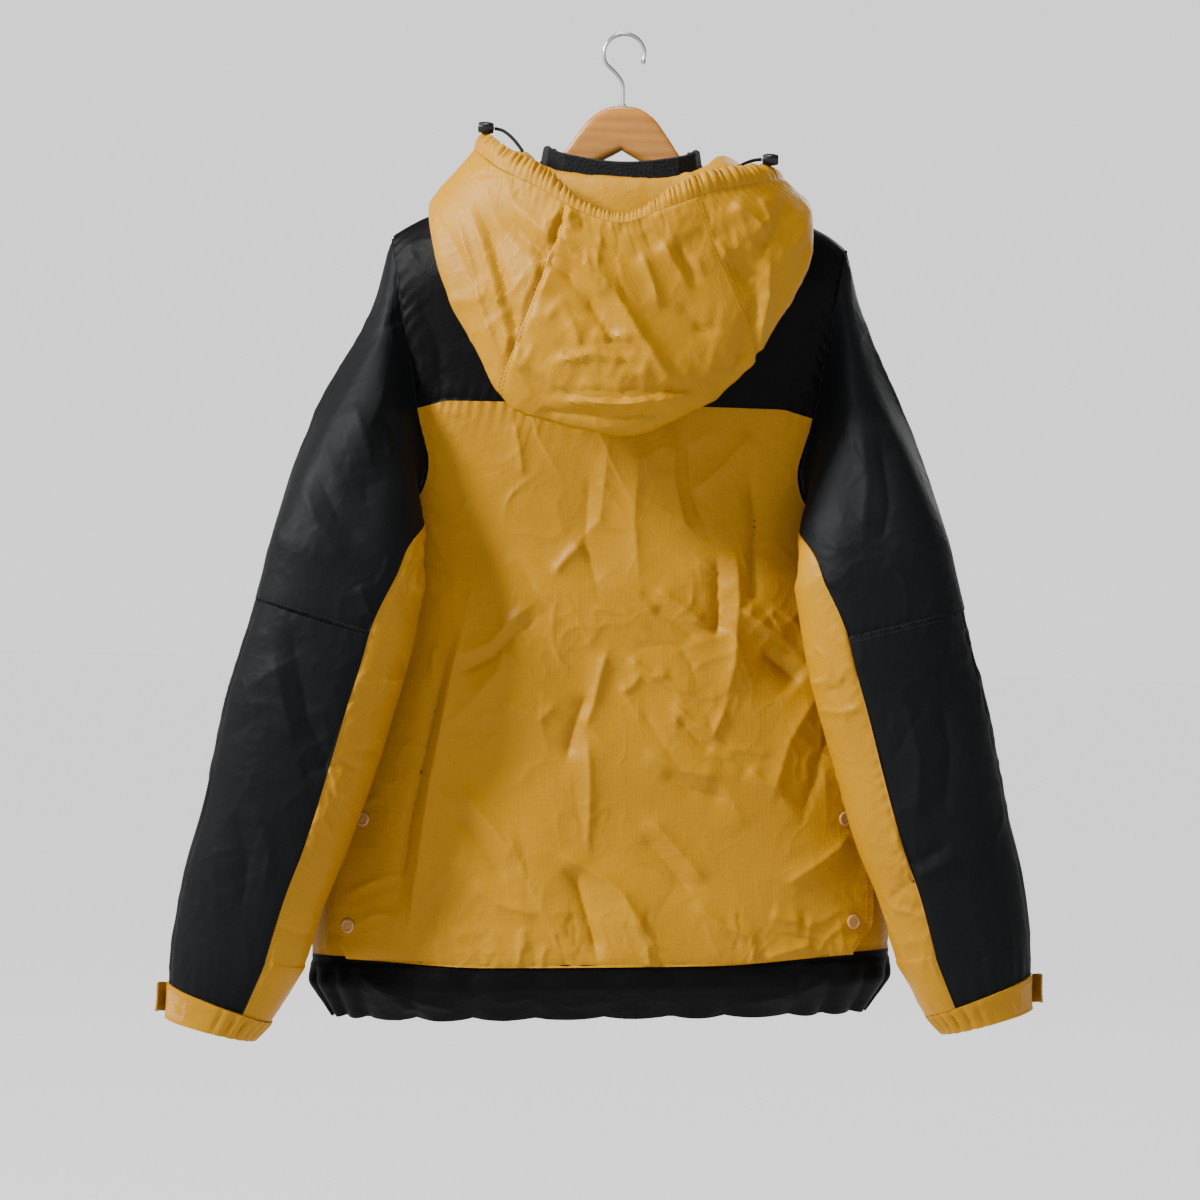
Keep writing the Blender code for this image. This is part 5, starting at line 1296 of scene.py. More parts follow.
HOOD_CREASES = [
    ("ridge", 9, 3.4, ((508, 197), (541, 229), (567, 248), (599, 280), (615, 292), (638, 333), (667, 376),
                       (701, 376))),
    ("trough", 8, 2.6, ((500, 212), (532, 246), (560, 266), (590, 300), (612, 340), (640, 380))),
    ("ridge", 6, 2.0, ((541, 224), (560, 219), (578, 212))),
    ("ridge", 7, 2.0, ((468, 205), (482, 240), (495, 285), (505, 320), (510, 345), (528, 388))),
    ("trough", 6, 1.8, ((476, 200), (492, 240), (505, 285), (516, 330), (534, 372))),
    ("ridge", 6, 1.6, ((456, 214), (470, 262), (486, 320), (505, 370))),
    ("ridge", 6, 2.0, ((546, 365), (590, 354), (640, 358))),
    ("ridge", 6, 1.8, ((590, 330), (612, 338), (635, 338))),
    ("ridge", 8, 2.2, ((729, 202), (752, 218), (769, 237))),
    ("ridge", 7, 2.0, ((714, 240), (722, 252), (729, 260))),
    ("trough", 7, 1.8, ((736, 262), (746, 280), (754, 295))),
    ("ridge", 7, 1.8, ((770, 250), (768, 300), (756, 350), (736, 390))),
    ("trough", 6, 1.6, ((758, 262), (756, 306), (742, 350), (722, 388))),
    ("ridge", 6, 1.8, ((545, 400), (620, 403), (700, 395))),
    ("trough", 5, 1.6, ((540, 392), (620, 394), (704, 386))),
    ("trough", 5, 1.4, ((533, 412), (610, 416), (680, 412))),
    ("ridge", 6, 2.0, ((660, 240), (674, 262), (690, 290))),
    ("trough", 6, 1.8, ((674, 236), (686, 262), (698, 286))),
    ("ridge", 6, 1.6, ((640, 250), (652, 280), (660, 310))),
    ("ridge", 7, 1.6, ((560, 300), (575, 330), (580, 350))),
]
SLEEVE_CREASES = [
    ("ridge", 8, 1.6, ((390, 405), (402, 424), (408, 445))),
    ("trough", 8, 1.6, ((380, 410), (392, 430), (396, 452))),
    ("ridge", 10, 1.8, ((355, 400), (364, 435), (372, 470))),
    ("ridge", 9, 1.8, ((358, 583), (365, 600), (371, 619))),
    ("trough", 12, 2.2, ((288, 620), (298, 668), (308, 720), (330, 760))),
    ("ridge", 12, 1.8, ((272, 650), (284, 705), (296, 750))),
    ("trough", 9, 2.0, ((335, 760), (318, 768), (300, 775))),
    ("ridge", 9, 2.0, ((912, 880), (936, 868), (960, 855))),
    ("trough", 9, 2.2, ((905, 868), (930, 856), (952, 842))),
    ("ridge", 11, 1.6, ((300, 480), (320, 530), (350, 560))),
    ("trough", 11, 1.6, ((316, 470), (338, 518), (366, 545))),
    ("ridge", 10, 1.6, ((860, 420), (868, 480), (862, 540))),
    ("trough", 10, 1.8, ((880, 430), (890, 500), (880, 560))),
    ("ridge", 12, 2.0, ((905, 700), (920, 760), (915, 830))),
    ("trough", 11, 2.0, ((940, 690), (950, 750), (945, 820))),
    ("ridge", 10, 1.6, ((250, 800), (270, 850), (262, 900))),
    ("trough", 10, 1.6, ((232, 810), (248, 860), (242, 910))),
    ("ridge", 12, 1.5, ((340, 330), (330, 390), (310, 430))),
    ("ridge", 12, 1.5, ((900, 330), (916, 390), (930, 450))),
    ("ridge", 9, 1.8, ((300, 840), (320, 870), (325, 910))),
]
HEM_CREASES = [
    ("ridge", 8, 1.8, ((353, 970), (385, 992), (420, 1015))),
    ("ridge", 7, 1.6, ((375, 985), (418, 1000), (460, 1010))),
    ("ridge", 8, 1.8, ((840, 960), (812, 985), (780, 1006))),
    ("ridge", 7, 1.6, ((820, 978), (780, 996), (740, 1004))),
]

BACK_SMALL = (small_creases(1, 34, (440, 430, 820, 960), 62, 26, (40, 120), (3, 7), (0.35, 0.9))
              + small_creases(2, 18, (620, 560, 820, 760), 25, 30, (30, 80), (3, 6), (0.5, 1.2))
              + small_creases(3, 34, (400, 925, 860, 965), 88, 14, (24, 50), (2.5, 5), (0.5, 1.1)))
HOOD_SMALL = (small_creases(4, 30, (520, 225, 720, 400), 40, 34, (24, 70), (3.5, 8), (0.5, 1.3))
              + small_creases(5, 16, (440, 180, 540, 400), 72, 12, (40, 110), (4, 9), (0.5, 1.3))
              + small_creases(6, 14, (710, 200, 800, 390), 112, 14, (30, 90), (4, 9), (0.5, 1.2))
              + small_creases(7, 18, (560, 215, 780, 270), 70, 22, (20, 44), (3.5, 7), (0.6, 1.4)))
SLEEVE_SMALL = (small_creases(8, 44, (170, 300, 420, 960), 110, 26, (26, 80), (3, 7), (0.4, 1.0))
                + small_creases(9, 44, (830, 300, 1030, 960), 70, 26, (26, 80), (3, 7), (0.4, 1.0)))

GUSSET_SMALL = (small_creases(10, 26, (250, 480, 430, 1000), 38, 26, (24, 60), (3, 7), (0.6, 1.5))
                + small_creases(11, 26, (790, 480, 940, 1000), 142, 26, (24, 60), (3, 7), (0.6, 1.5)))

# ---- cloth pieces ------------------------------------------------------------------------------------------
THIN = 0.0012
BODY_THICK = 0.0014
CUFF_THICK = 0.0016
HOOK_TAPE_THICK = 0.0011
HOOD_THICK = 0.0010
FLEECE_THICK = 0.0040
STITCH_LINES = {"yellow": [], "black": [], "grey": []}
BACK = vec(0, 1, 0)


def hung_grid(rows):
    return np.array([[hang(p) for p in row] for row in rows])


def sided(grid, side):
    """The left piece's grid, or its mirror image, in place on the hanging jacket."""
    grid = np.array(grid, float)
    grid[..., 0] *= side
    return hung_grid(grid)


def yoke_surface(front):
    place = front_at if front else back_at
    first = ZIP_HALF if front else -SHOULDER_X
    columns = []
    for x0 in np.linspace(first, SHOULDER_X, 34 if front else 61):
        top = top_z(x0, front)
        start = math.acos(max(-1.0, min(1.0, 1 - (ridge_z(x0) - top) / SHOULDER_ROUND)))
        levels = [top] + [ridge_z(x0) - SHOULDER_ROUND * (1 - math.cos(start + (math.pi / 2 - start) * k / 7))
                          for k in range(1, 8)]
        low = yoke_z(yoke_x(x0, YOKE_Z - YOKE_DIP)) + HALF_GAP
        levels += [levels[7] + (low - levels[7]) * k / 8 for k in range(1, 9)]
        column = []
        for z in levels:
            x = yoke_x(x0, z)
            column.append(place(x, min(z, ridge_z(x) - 2.6e-7)))
        columns.append(column)
    return [list(row) for row in zip(*columns)]


def make_yokes():
    cloth = Cloth(hung_grid(yoke_surface(False)), 7, 3, BACK)
    cloth.crease(YOKE_CREASES, 1.5).crumple(1.4, 0.9, 0.038, 1.0)
    cloth.pucker("bottom", 0.012, 0.55, 0.010, 2.0).dip("bottom", 1.2, 0.0035)
    cloth.pucker("left", 0.013, 0.5, 0.012, 5.0).pucker("right", 0.013, 0.5, 0.012, 6.0)
    cloth.hold("bottom", 0.0015).hold("top", 0.004).settled()
    shell("yoke_back_cloth", cloth, THIN, BLACK_SHELL, "back_yoke", lining=True)
    STITCH_LINES["black"].append(stitch_points(cloth, "bottom", 0.0022))
    for side, word in ((1, "left"), (-1, "right")):
        cloth = Cloth(sided(yoke_surface(True), side), 4, 3, -BACK)
        cloth.crumple(0.9, 0.7, 0.034, 3.0 + side).dip("bottom", 1.0, 0.0035)
        cloth.pucker("bottom", 0.013, 0.5, 0.010, 4.0).hold("bottom", 0.0015).hold("top", 0.004).settled()
        shell(f"yoke_front_cloth_{word}", cloth, THIN, BLACK_SHELL, f"front_yoke_{word}",
              lining=True)
        STITCH_LINES["black"].append(stitch_points(cloth, "bottom", 0.0022))


def make_back():
    seam = YOKE_Z - YOKE_DIP
    levels = [None, PANEL_BOTTOM_Z] + [float(z) for z in np.linspace(-0.815, -0.352, 44)] + [seam]
    rows = []
    for level in levels:
        z = PANEL_BOTTOM_Z if level is None else level
        row = []
        for share in np.linspace(-1, 1, 61):
            x = share * (edge_x(z) - HALF_GAP)
            here = hang_below(x) if level is None else yoke_z(x) - HALF_GAP if level == seam else z
            row.append(back_at(x, here, lift(here)))
        rows.append(row)
    cloth = Cloth(hung_grid(rows), 6, 5, BACK)
    cloth.crease(BACK_CREASES, 1.9, 0.85).crease(BACK_SMALL, 1.5).crumple(3.6, 1.3, 0.038, 0.0)
    distance = np.minimum(cloth.edge("left")[0], cloth.edge("right")[0])
    free = smooth_array(FLAP_START_Z + 0.02, FLAP_START_Z - 0.08, cloth.grid[..., 2])
    cloth.lift += 0.0030 * np.exp(-(distance / 0.014) ** 2) * free
    cloth.pucker("top", 0.0105, 0.22, 0.007, 1.0).dip("top", 2.0, 0.0045)
    cloth.pucker("bottom", 0.0105, 0.80, 0.014, 3.0)
    cloth.pucker("left", 0.016, 0.35, 0.010, 7.0).pucker("right", 0.017, 0.35, 0.010, 8.0)
    cloth.hold("top", 0.0012).settled()
    shell("back_cloth", cloth, BODY_THICK, YELLOW_SHELL, "back_panel", lining=True)
    for side in ("left", "right"):
        STITCH_LINES["yellow"].append(stitch_points(cloth, side, 0.0065))
    return cloth


def make_front_cloth():
    seam = YOKE_Z - YOKE_DIP
    levels = [FRONT_BOTTOM_Z] + [float(z) for z in np.linspace(-0.815, -0.448, 34)]
    levels += SIDE_ROWS + UPPER_ROWS[:1] + [float(z) for z in np.linspace(-0.4330, -0.352, 9)] + [seam]
    rows = []
    for level in levels:
        first = math.pi - angle_at(ZIP_HALF, level)
        last = front_reach(level)
        row = []
        for share in np.linspace(0, 1, 45):
            z, angle = level, first + (last - first) * share
            if level == seam:
                x = ZIP_HALF + (profile(ARMHOLE, level) - ZIP_HALF) * share
                z = yoke_z(x) - HALF_GAP
                angle = math.pi - angle_at(x, z)
            row.append(body_point(angle, z))
        rows.append(row)
    for side, word in ((1, "left"), (-1, "right")):
        cloth = Cloth(sided(rows, side), 3, 2, -BACK)
        cloth.crumple(1.7, 1.1, 0.036, 6.0 + side).dip("top", 1.6, 0.0045)
        cloth.pucker("top", 0.012, 0.6, 0.011, 9.0).pucker("bottom", 0.013, 1.0, 0.018, 2.0)
        cloth.pucker("left", 0.014, 0.5, 0.012, 4.0).hold("top", 0.0012).hold("left", 0.0015)
        cloth.hold("right", 0.03).settled()
        shell(f"front_cloth_{word}", cloth, BODY_THICK, YELLOW_SHELL, f"front_{word}",
              lining=True)
        STITCH_LINES["black"].append(stitch_points(cloth, "left", 0.0030))


def make_hem_cloth():
    """The elastic hem band: padded, gathered into soft scallops that are each a little different."""
    columns = HEM_SCALLOPS * 12 + 1
    rng = np.random.default_rng(12)
    starts = np.linspace(0, HEM_SCALLOPS, HEM_SCALLOPS + 1)
    starts[1:-1] += rng.uniform(-0.16, 0.16, HEM_SCALLOPS - 1)
    depth = rng.uniform(0.7, 1.25, HEM_SCALLOPS + 1)
    shares = np.linspace(0, HEM_SCALLOPS, columns)
    phase = np.interp(shares, starts, np.arange(HEM_SCALLOPS + 1))
    rows = []
    for z in np.linspace(HEM_TOP_Z, HEM_BOTTOM_Z, 19):
        row = []
        for i in range(columns):
            angle = hem_ring_angle(-1 + 2 * i / (columns - 1))
            size = float(np.interp(phase[i], np.arange(HEM_SCALLOPS + 1), depth))
            wave = (1.35 * abs(math.sin(math.pi * phase[i])) ** 0.75 - 0.55) * size
            reach = smooth(-0.831, -0.846, z)
            grow = profile(HEM, z) + 0.0030 * wave * reach
            below = 0.0022 * wave * smooth(-0.866, HEM_BOTTOM_Z, z)
            row.append(body_point(angle, z - below, grow))
        rows.append(row)
    cloth = Cloth(hung_grid(rows), 2, 1, BACK)
    cloth.crease(HEM_CREASES, 1.2).crumple(1.2, 0.9, 0.024, 12.0).settled()
    bottom = cloth.grid[-1] - cloth.normal[-1] * 0.0050 + (0, 0, 0.0016)
    turn = (cloth.grid[-1:] + bottom[None]) / 2 - (0, 0, 0.0012)
    cloth.grid = np.concatenate([cloth.grid, turn, bottom[None]])
    for name in ("normal", "u", "v"):
        values = getattr(cloth, name)
        setattr(cloth, name, np.concatenate([values, values[-1:], values[-1:]]))
    shell("hem_cloth", cloth, THIN, BLACK_SHELL, "hem_band")
    STITCH_LINES["black"].append(stitch_points(cloth, "top", 0.0026))


# ---- sleeves and cuffs -------------------------------------------------------------------------------------
ELBOW_GAP = HALF_GAP / 0.1
UPPER_DOWNS = [float(v) for v in np.linspace(0.06, ELBOW_DOWN - ELBOW_GAP, 34)]
LOWER_DOWNS = [ELBOW_DOWN + ELBOW_GAP] + [float(v) for v in np.linspace(1.52, 4.42, 30)] + ["end"]


def sleeve_surface(spans, count, downs, turned=False):
    rows = []
    if turned:
        low, high = spans(0.0)
        for step in range(TURN_STEPS):
            rows.append([seam_turn(low + (high - low) * s, step)[0] for s in np.linspace(0, 1, count)])
    for down in downs:
        row = []
        for share in np.linspace(0, 1, count):
            level = down
            if down == "end":
                low, high = spans(ring_down(cuff_top_z(180)))
                level = ring_down(cuff_top_z(ring_angle(low + (high - low) * share)) + HALF_GAP)
            low, high = spans(level)
            row.append(sleeve_point(low + (high - low) * share, level))
        rows.append(row)
    return rows


def upper_span(down):
    rear, front = gusset_edges(down)
    return front - 360, rear


def back_span(down):
    return 20, gusset_edges(down)[0]


def front_span(down):
    return gusset_edges(down)[1] - 360, 20


def make_sleeves():
    downs = UPPER_DOWNS
    upper = sleeve_surface(upper_span, 61, downs, True)
    gusset = sleeve_surface(gusset_edges, 15, [float(v) for v in np.linspace(0.06, 4.42, 62)] + ["end"], True)
    lower_back = sleeve_surface(back_span, 27, LOWER_DOWNS)
    lower_front = sleeve_surface(front_span, 31, LOWER_DOWNS)
    for side, word in ((1, "left"), (-1, "right")):
        outward = vec(side, 0.3, 0)
        cloth = Cloth(sided(upper, side), 4, 3, outward, ("left", "right"))
        cloth.crease(SLEEVE_CREASES, 1.7).crease(SLEEVE_SMALL, 1.2).crumple(1.8, 1.0, 0.034, 20.0 + side)
        cloth.pucker("top", 0.011, 0.8, 0.014, side + 2.0).pucker("bottom", 0.012, 0.35, 0.008, side + 5.0)
        cloth.dip("bottom", 0.5, 0.0035).dip("top", 0.9, 0.003)
        cloth.dip("left", 0.8, 0.003).dip("right", 0.8, 0.003)
        cloth.hold("bottom", 0.0012).hold("left", 0.0015).hold("right", 0.0015).hold("top", 0.0015).settled()
        shell(f"sleeve_upper_cloth_{word}", cloth, THIN, SLEEVE_SHELL, f"sleeve_upper_{word}",
              lining=True)
        STITCH_LINES["grey"].append(stitch_points(cloth, "bottom", 0.0018))
        for name, rows, fine, facing in (("back", lower_back, (4, 3), vec(0, 1, 0)),
                                         ("front", lower_front, (3, 3), vec(0, -1, 0))):
            cloth = Cloth(sided(rows, side), *fine, facing, ("left", "right"))
            cloth.crease(SLEEVE_CREASES, 1.7).crease(SLEEVE_SMALL, 1.2).crumple(1.8, 1.0, 0.034, 30.0 + side)
            cloth.pucker("top", 0.012, 0.45, 0.009, side + 7.0)
            cloth.pucker("bottom", 0.011, 0.8, 0.018, side + 3.0)
            cloth.dip("top", 0.5, 0.0035).dip("bottom", 1.0, 0.003).dip("left", 0.8, 0.003)
            cloth.dip("right", 0.8, 0.003)
            cloth.hold("top", 0.0012).hold("left", 0.0015).hold("right", 0.0015).settled()
            shell(f"sleeve_lower_{name}_cloth_{word}", cloth, THIN, SLEEVE_SHELL,
                  f"sleeve_lower_{name}_{word}", lining=True)
            for away in (0.0018, 0.0062):
                STITCH_LINES["grey"].append(stitch_points(cloth, "top", away))
        middle = vec(-side, 0.2, -0.6)
        cloth = Cloth(sided(gusset, side), 4, 4, middle, ("left", "right"))
        cloth.crease(GUSSET_SMALL, 1.5).crumple(1.4, 1.6, 0.028, 40.0 + side)
        cloth.pucker("left", 0.012, 0.5, 0.008, 1.0)
        cloth.pucker("right", 0.012, 0.5, 0.008, 2.0).dip("left", 0.8, 0.003).dip("right", 0.8, 0.003)
        cloth.hold("left", 0.0015).hold("right", 0.0015).hold("top", 0.003).settled()
        shell(f"gusset_cloth_{word}", cloth, THIN, YELLOW_SHELL, f"sleeve_gusset_{word}",
              lining=True)


def cuff_fold(theta, f):
    """Elastic gathers on the cuff's inner half."""
    inner = smooth(80, 112, theta) * (1 - smooth(248, 280, theta))
    wave = abs(math.sin(math.radians(theta * 13.0 + 16 * math.sin(math.radians(theta * 5))))) ** 0.8 - 0.5
    shake = 0.0004 * math.sin(math.radians(theta * 9))
    return (0.0034 * wave * inner + shake) * math.sin(math.pi * (0.1 + 0.84 * f))


def strap_surface(thetas, rows, ups):
    return [[cuff_point(t, f, up) for t, up in zip(thetas, ups)] for f in rows]


def make_cuffs():
    thetas = [float(t) for t in np.linspace(0, 360, 181)]
    rows = []
    for f in np.linspace(0, 1, 13):
        rows.append([cuff_point(t % 360, f, cuff_fold(t % 360, f) - cuff_grow(t % 360, f)) for t in thetas])
    patch = [float(t) for t in np.linspace(16, 58, 22)]
    patch_rows = [float(f) for f in np.linspace(0.14, 0.88, 12)]
    tab = [float(t) for t in np.linspace(-70, 6, 31)]
    ups = [0.0020 + 0.0092 * smooth(-48, 10, t) ** 1.2 for t in tab]
    tab_rows = [float(f) for f in np.linspace(0.10, 0.92, 12)]
    for side, word in ((1, "left"), (-1, "right")):
        cloth = Cloth(sided(rows, side), 2, 2, vec(0, 1, 0))
        cloth.crumple(0.5, 0.4, 0.018, 50.0 + side).pucker("top", 0.009, 0.5, 0.006, 3.0)
        cloth.dip("top", 0.9, 0.003)
        cloth.lift[:, -1] = cloth.lift[:, 0]
        cloth.normal[:, -1] = cloth.normal[:, 0] = (cloth.normal[:, 0] + cloth.normal[:, -1]) / 2
        cloth.hold("top", 0.0012).settled()
        shell(f"cuff_cloth_{word}", cloth, CUFF_THICK, YELLOW_SHELL, f"cuff_{word}",
              True)
        STITCH_LINES["yellow"].append(stitch_points(cloth, "top", 0.0024))
        STITCH_LINES["yellow"].append(stitch_points(cloth, "bottom", 0.0030))
        cloth = Cloth(sided(strap_surface(patch, patch_rows, [0.0018] * 22), side), 2, 2, vec(side, 1, 0))
        cloth.crumple(0.1, 0.15, 0.010, 60.0).settled()
        shell(f"hook_tape_{word}", cloth, HOOK_TAPE_THICK, HOOK_TAN, f"cuff_patch_{word}")
        cloth = Cloth(sided(strap_surface(tab, tab_rows, ups), side), 2, 2, vec(side, -1, 0))
        cloth.crumple(0.15, 0.2, 0.012, 61.0).settled()
        shell(f"strap_tab_{word}", cloth, BODY_THICK, YELLOW_SHELL, f"cuff_tab_{word}")
        for edge in ("top", "bottom", "right"):
            STITCH_LINES["yellow"].append(stitch_points(cloth, edge, 0.0020))


# ---- collar and hood ---------------------------------------------------------------------------------------
def make_collar_cloth():
    psis = np.linspace(NECK_PSI[0], NECK_PSI[-1], 151)
    rows = []
    for f in np.concatenate([[0.0, 0.03, 0.08, 0.14], np.linspace(0.22, 1.0, 10)]):
        row = []
        for psi in psis:
            side = min(abs(psi - 90), abs(psi - 270))
            row.append(collar_point(psi, f * (1 - 0.16 * math.exp(-(side / 22) ** 2)))[0])
        rows.append(row)
    cloth = Cloth(hung_grid(rows), 3, 2, BACK)
    cloth.crumple(0.5, 0.3, 0.025, 70.0).hold("top", 0.003).settled()
    top = cloth.grid[-1] - cloth.normal[-1] * 0.0042
    ridge = (cloth.grid[-1] + top) / 2 + (0, 0, 0.0016)
    cloth.grid = np.concatenate([cloth.grid, ridge[None], top[None]])
    for name in ("normal", "u", "v"):
        values = getattr(cloth, name)
        setattr(cloth, name, np.concatenate([values, values[-1:], values[-1:]]))
    shell("collar_fleece", cloth, FLEECE_THICK, FLEECE, "collar")


def hood_grid(first, last, count):
    rows = []
    inside, fold, outside = np.linspace(0, 0.44, 17), np.linspace(0.46, 0.56, 7), np.linspace(0.59, 1.0, 14)
    for s in np.concatenate([inside, fold, outside]):
        rows.append([hood_point(t, s) for t in np.linspace(first, last, count)])
    return rows


def make_hood():
    for name, first, last, count in HOOD_SPANS:
        places = (first + 0.0002, last - 0.0002)
        cloth = Cloth(hung_grid(hood_grid(*places, count * 3)), 4, 4, vec(0, 1, 0.2), at=0.82)
        cloth.crease(HOOD_CREASES, 2.5, 0.85).crease(HOOD_SMALL, 1.7).crumple(2.6, 1.6, 0.030, 80.0 + first)
        cloth.pucker("left", 0.012, 0.45, 0.008, 1.0).pucker("right", 0.012, 0.45, 0.008, 2.0)
        cloth.dip("left", 0.8, 0.003).dip("right", 0.8, 0.003)
        cloth.pucker("bottom", 0.0075, 0.8, 0.012, 4.0)
        cloth.hold("left", 0.007).hold("right", 0.007).hold("bottom", 0.002).hold("top", 0.006).settled()
        shell(f"{name}_cloth", cloth, HOOD_THICK, YELLOW_SHELL, name)
        for edge in (("left",) if first > -0.9 else ()) + (("right",) if last < 0.9 else ()):
            STITCH_LINES["yellow"].append(stitch_points(cloth, edge, 0.0020))


def make_rim_cloth():
    """The drawcord channel, closely gathered by its cord."""
    places = np.linspace(-1 + HOOD_TRIM, 1 - HOOD_TRIM, 401)
    coarse = np.linspace(places[0], places[-1], 81)
    found = []
    for t in coarse:
        outer, inner = hood_pair(t, 1.0)
        inward = RIM_TURN * (1 - smooth(0.10, 0.42, abs(t - RIM_TURN_AT)))
        rising = unit(hood_point(t, 1.0) - hood_point(t, 0.97))
        way = unit(rising * (1 - inward) + vec(0, -1.0, 0.12) * inward)
        found.append(np.concatenate([(outer + inner) / 2, hood_normal(t, 1.0), rising, way]))
    found = np.array(found)
    spread = np.array([np.interp(places, coarse, found[:, k]) for k in range(12)]).T
    middle, normal, rising, way = (spread[:, k:k + 3] for k in (0, 3, 6, 9))
    along = np.cross(normal, rising)
    sections = 22
    grid = np.zeros((sections + 1, len(places), 3))
    rng = np.random.default_rng(5)
    knots = np.cumsum(rng.uniform(0.55, 1.5, 88))
    knots = -1 + 2 * (knots - knots[0]) / (knots[-1] - knots[0])
    phase = np.interp(places, knots, np.arange(88))
    for k in range(sections + 1):
        turn = math.pi * k / sections
        f = math.sin(turn) ** 0.75
        half = HOOD_WALL / 2 + 0.0024 * math.sin(math.pi * min(1, max(0, f * 1.04 - 0.02)))
        side = math.cos(turn)
        wave = (np.abs(np.sin(math.pi * phase)) ** 0.8 - 0.5) * 0.0026 * math.sin(math.pi * f * 0.5)
        shake = 0.0011 * np.sin(2 * math.pi * phase / 3.7) * f
        turned = 0.85 * math.sqrt(f)
        heading = rising * (1 - turned) + way * turned
        heading /= np.linalg.norm(heading, axis=1)[:, None]
        facing = np.cross(heading, along)
        facing /= np.linalg.norm(facing, axis=1)[:, None]
        centre = middle + rising * SEAM_GAP + heading * (RIM_DEPTH * f - 0.0016 * (wave < 0) * f)[:, None]
        across = half * np.sign(side) * abs(side) ** 0.5
        bulge = wave * (1 if side >= 0 else 0.5) * np.sign(side + 1e-9)
        grid[k] = centre + facing * (across + bulge + shake)[:, None]
    cloth = Cloth(hung_grid(grid), 1, 1, vec(0, 1, 0))
    mesh_cloth(cloth, "rim_cloth")


def mesh_cloth(cloth, name):
    """The rim's tube closed along its seam and at both ends."""
    rows, cols = cloth.grid.shape[:2]
    index = np.arange(rows * cols).reshape(rows, cols)
    after = np.roll(index, -1, axis=0)
    quads = np.stack([index[:, :-1], after[:, :-1], after[:, 1:], index[:, 1:]], axis=-1).reshape(-1, 4)
    verts = cloth.grid.reshape(-1, 3)
    ends = []
    for column, flip in ((0, False), (cols - 1, True)):
        line = index[:, column]
        half = rows // 2
        for k in range(half):
            quad = (line[k], line[k + 1], line[rows - 2 - k], line[rows - 1 - k])
            if len(set(quad)) == 4:
                ends.append(quad[::-1] if flip else quad)
    quads = np.concatenate([quads, np.array(ends)])
    first = quads[len(quads) // 4]
    face = np.cross(verts[first[1]] - verts[first[0]], verts[first[3]] - verts[first[0]])
    if np.dot(face, cloth.normal.reshape(-1, 3)[first[0]]) < 0:
        quads = quads[:, ::-1]
    uv = np.stack([cloth.u, cloth.v], axis=-1)
    piece = finish_piece(name, mesh_from(name, verts, quads, uv), YELLOW_SHELL, replaced=("hood_rim",))
    cut_from(cloth.grid[:len(cloth.grid) // 2 + 1])


# ---- trim --------------------------------------------------------------------------------------------------
def face_outward(mesh, merge=0.0):
    """Joins points nearer to one another than merge, and turns every face outward."""
    bm = bmesh.new()
    bm.from_mesh(mesh)
    if merge:
        bmesh.ops.remove_doubles(bm, verts=bm.verts, dist=merge)
    bmesh.ops.recalc_face_normals(bm, faces=bm.faces)
    bm.to_mesh(mesh)
    bm.free()


def turned_piece(name, outline, centre, axis, mat, replaced=(), segments=40, body="jacket"):
    """A turned solid: radius and height pairs about an axis through centre."""
    axis = unit(vec(*axis))
    side = unit(np.cross(axis, vec(0.31, 0.2, 0.93)))
    other = np.cross(axis, side)
    verts, quads = [], []
    for radius, height in outline:
        for k in range(segments):
            a = 2 * math.pi * k / segments
            way = side * math.cos(a) + other * math.sin(a)
            verts.append(vec(*centre) + axis * height + way * max(radius, 2e-5))
    for j in range(len(outline) - 1):
        for k in range(segments):
            m = (k + 1) % segments
            quads.append((j * segments + k, j * segments + m, (j + 1) * segments + m, (j + 1) * segments + k))
    mesh = mesh_from(name, verts, quads)
    face_outward(mesh, 6e-6)
    return finish_piece(name, mesh, mat, body, replaced, 35)


SNAP_OUTLINE = [  # radius, height
    (0.0, 0.0), (0.0060, 0.0), (0.0066, 0.0004), (0.0066, 0.0011), (0.0061, 0.0017), (0.0052, 0.0020),
    (0.0046, 0.0020), (0.0043, 0.0016), (0.0036, 0.0014), (0.0028, 0.0015), (0.0018, 0.0016), (0.0, 0.0016),
]


def nearest_on(cloth, x, z):
    """The settled cloth's place and normal nearest to x, z."""
    gap = (cloth.grid[..., 0] - x) ** 2 + (cloth.grid[..., 2] - z) ** 2
    k = np.unravel_index(np.argmin(gap), gap.shape)
    return cloth.grid[k], unit(cloth.normal[k])


def make_snaps(cloth):
    for side, word in ((1, "left"), (-1, "right")):
        for level, x, z in (("upper", 0.2157, -0.7035), ("lower", 0.2253, -0.7967)):
            place = hang(vec(x * side, 0.0, z))
            point, normal = nearest_on(cloth, place[0], place[2])
            turned_piece(f"snap_cap_{level}_{word}", SNAP_OUTLINE, point + normal * 0.0002, normal, SNAP_TAN,
                         (f"snap_{level}_{word}",))


def curve_tube(name, points, radius, mat, replaced=(), body="jacket", resolution=5):
    curve = bpy.data.curves.new(name, "CURVE")
    curve.dimensions = "3D"
    curve.bevel_depth = radius
    curve.bevel_resolution = resolution
    curve.use_fill_caps = True
    spline = curve.splines.new("POLY")
    spline.points.add(len(points) - 1)
    for place, point in zip(spline.points, points):
        place.co = (*[float(c) for c in point], 1.0)
    curve.materials.append(mat)
    piece = bpy.data.objects.new(name, curve)
    bpy.context.scene.collection.objects.link(piece)
    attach(piece, body)
    for node in replaced:
        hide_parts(node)
    return piece


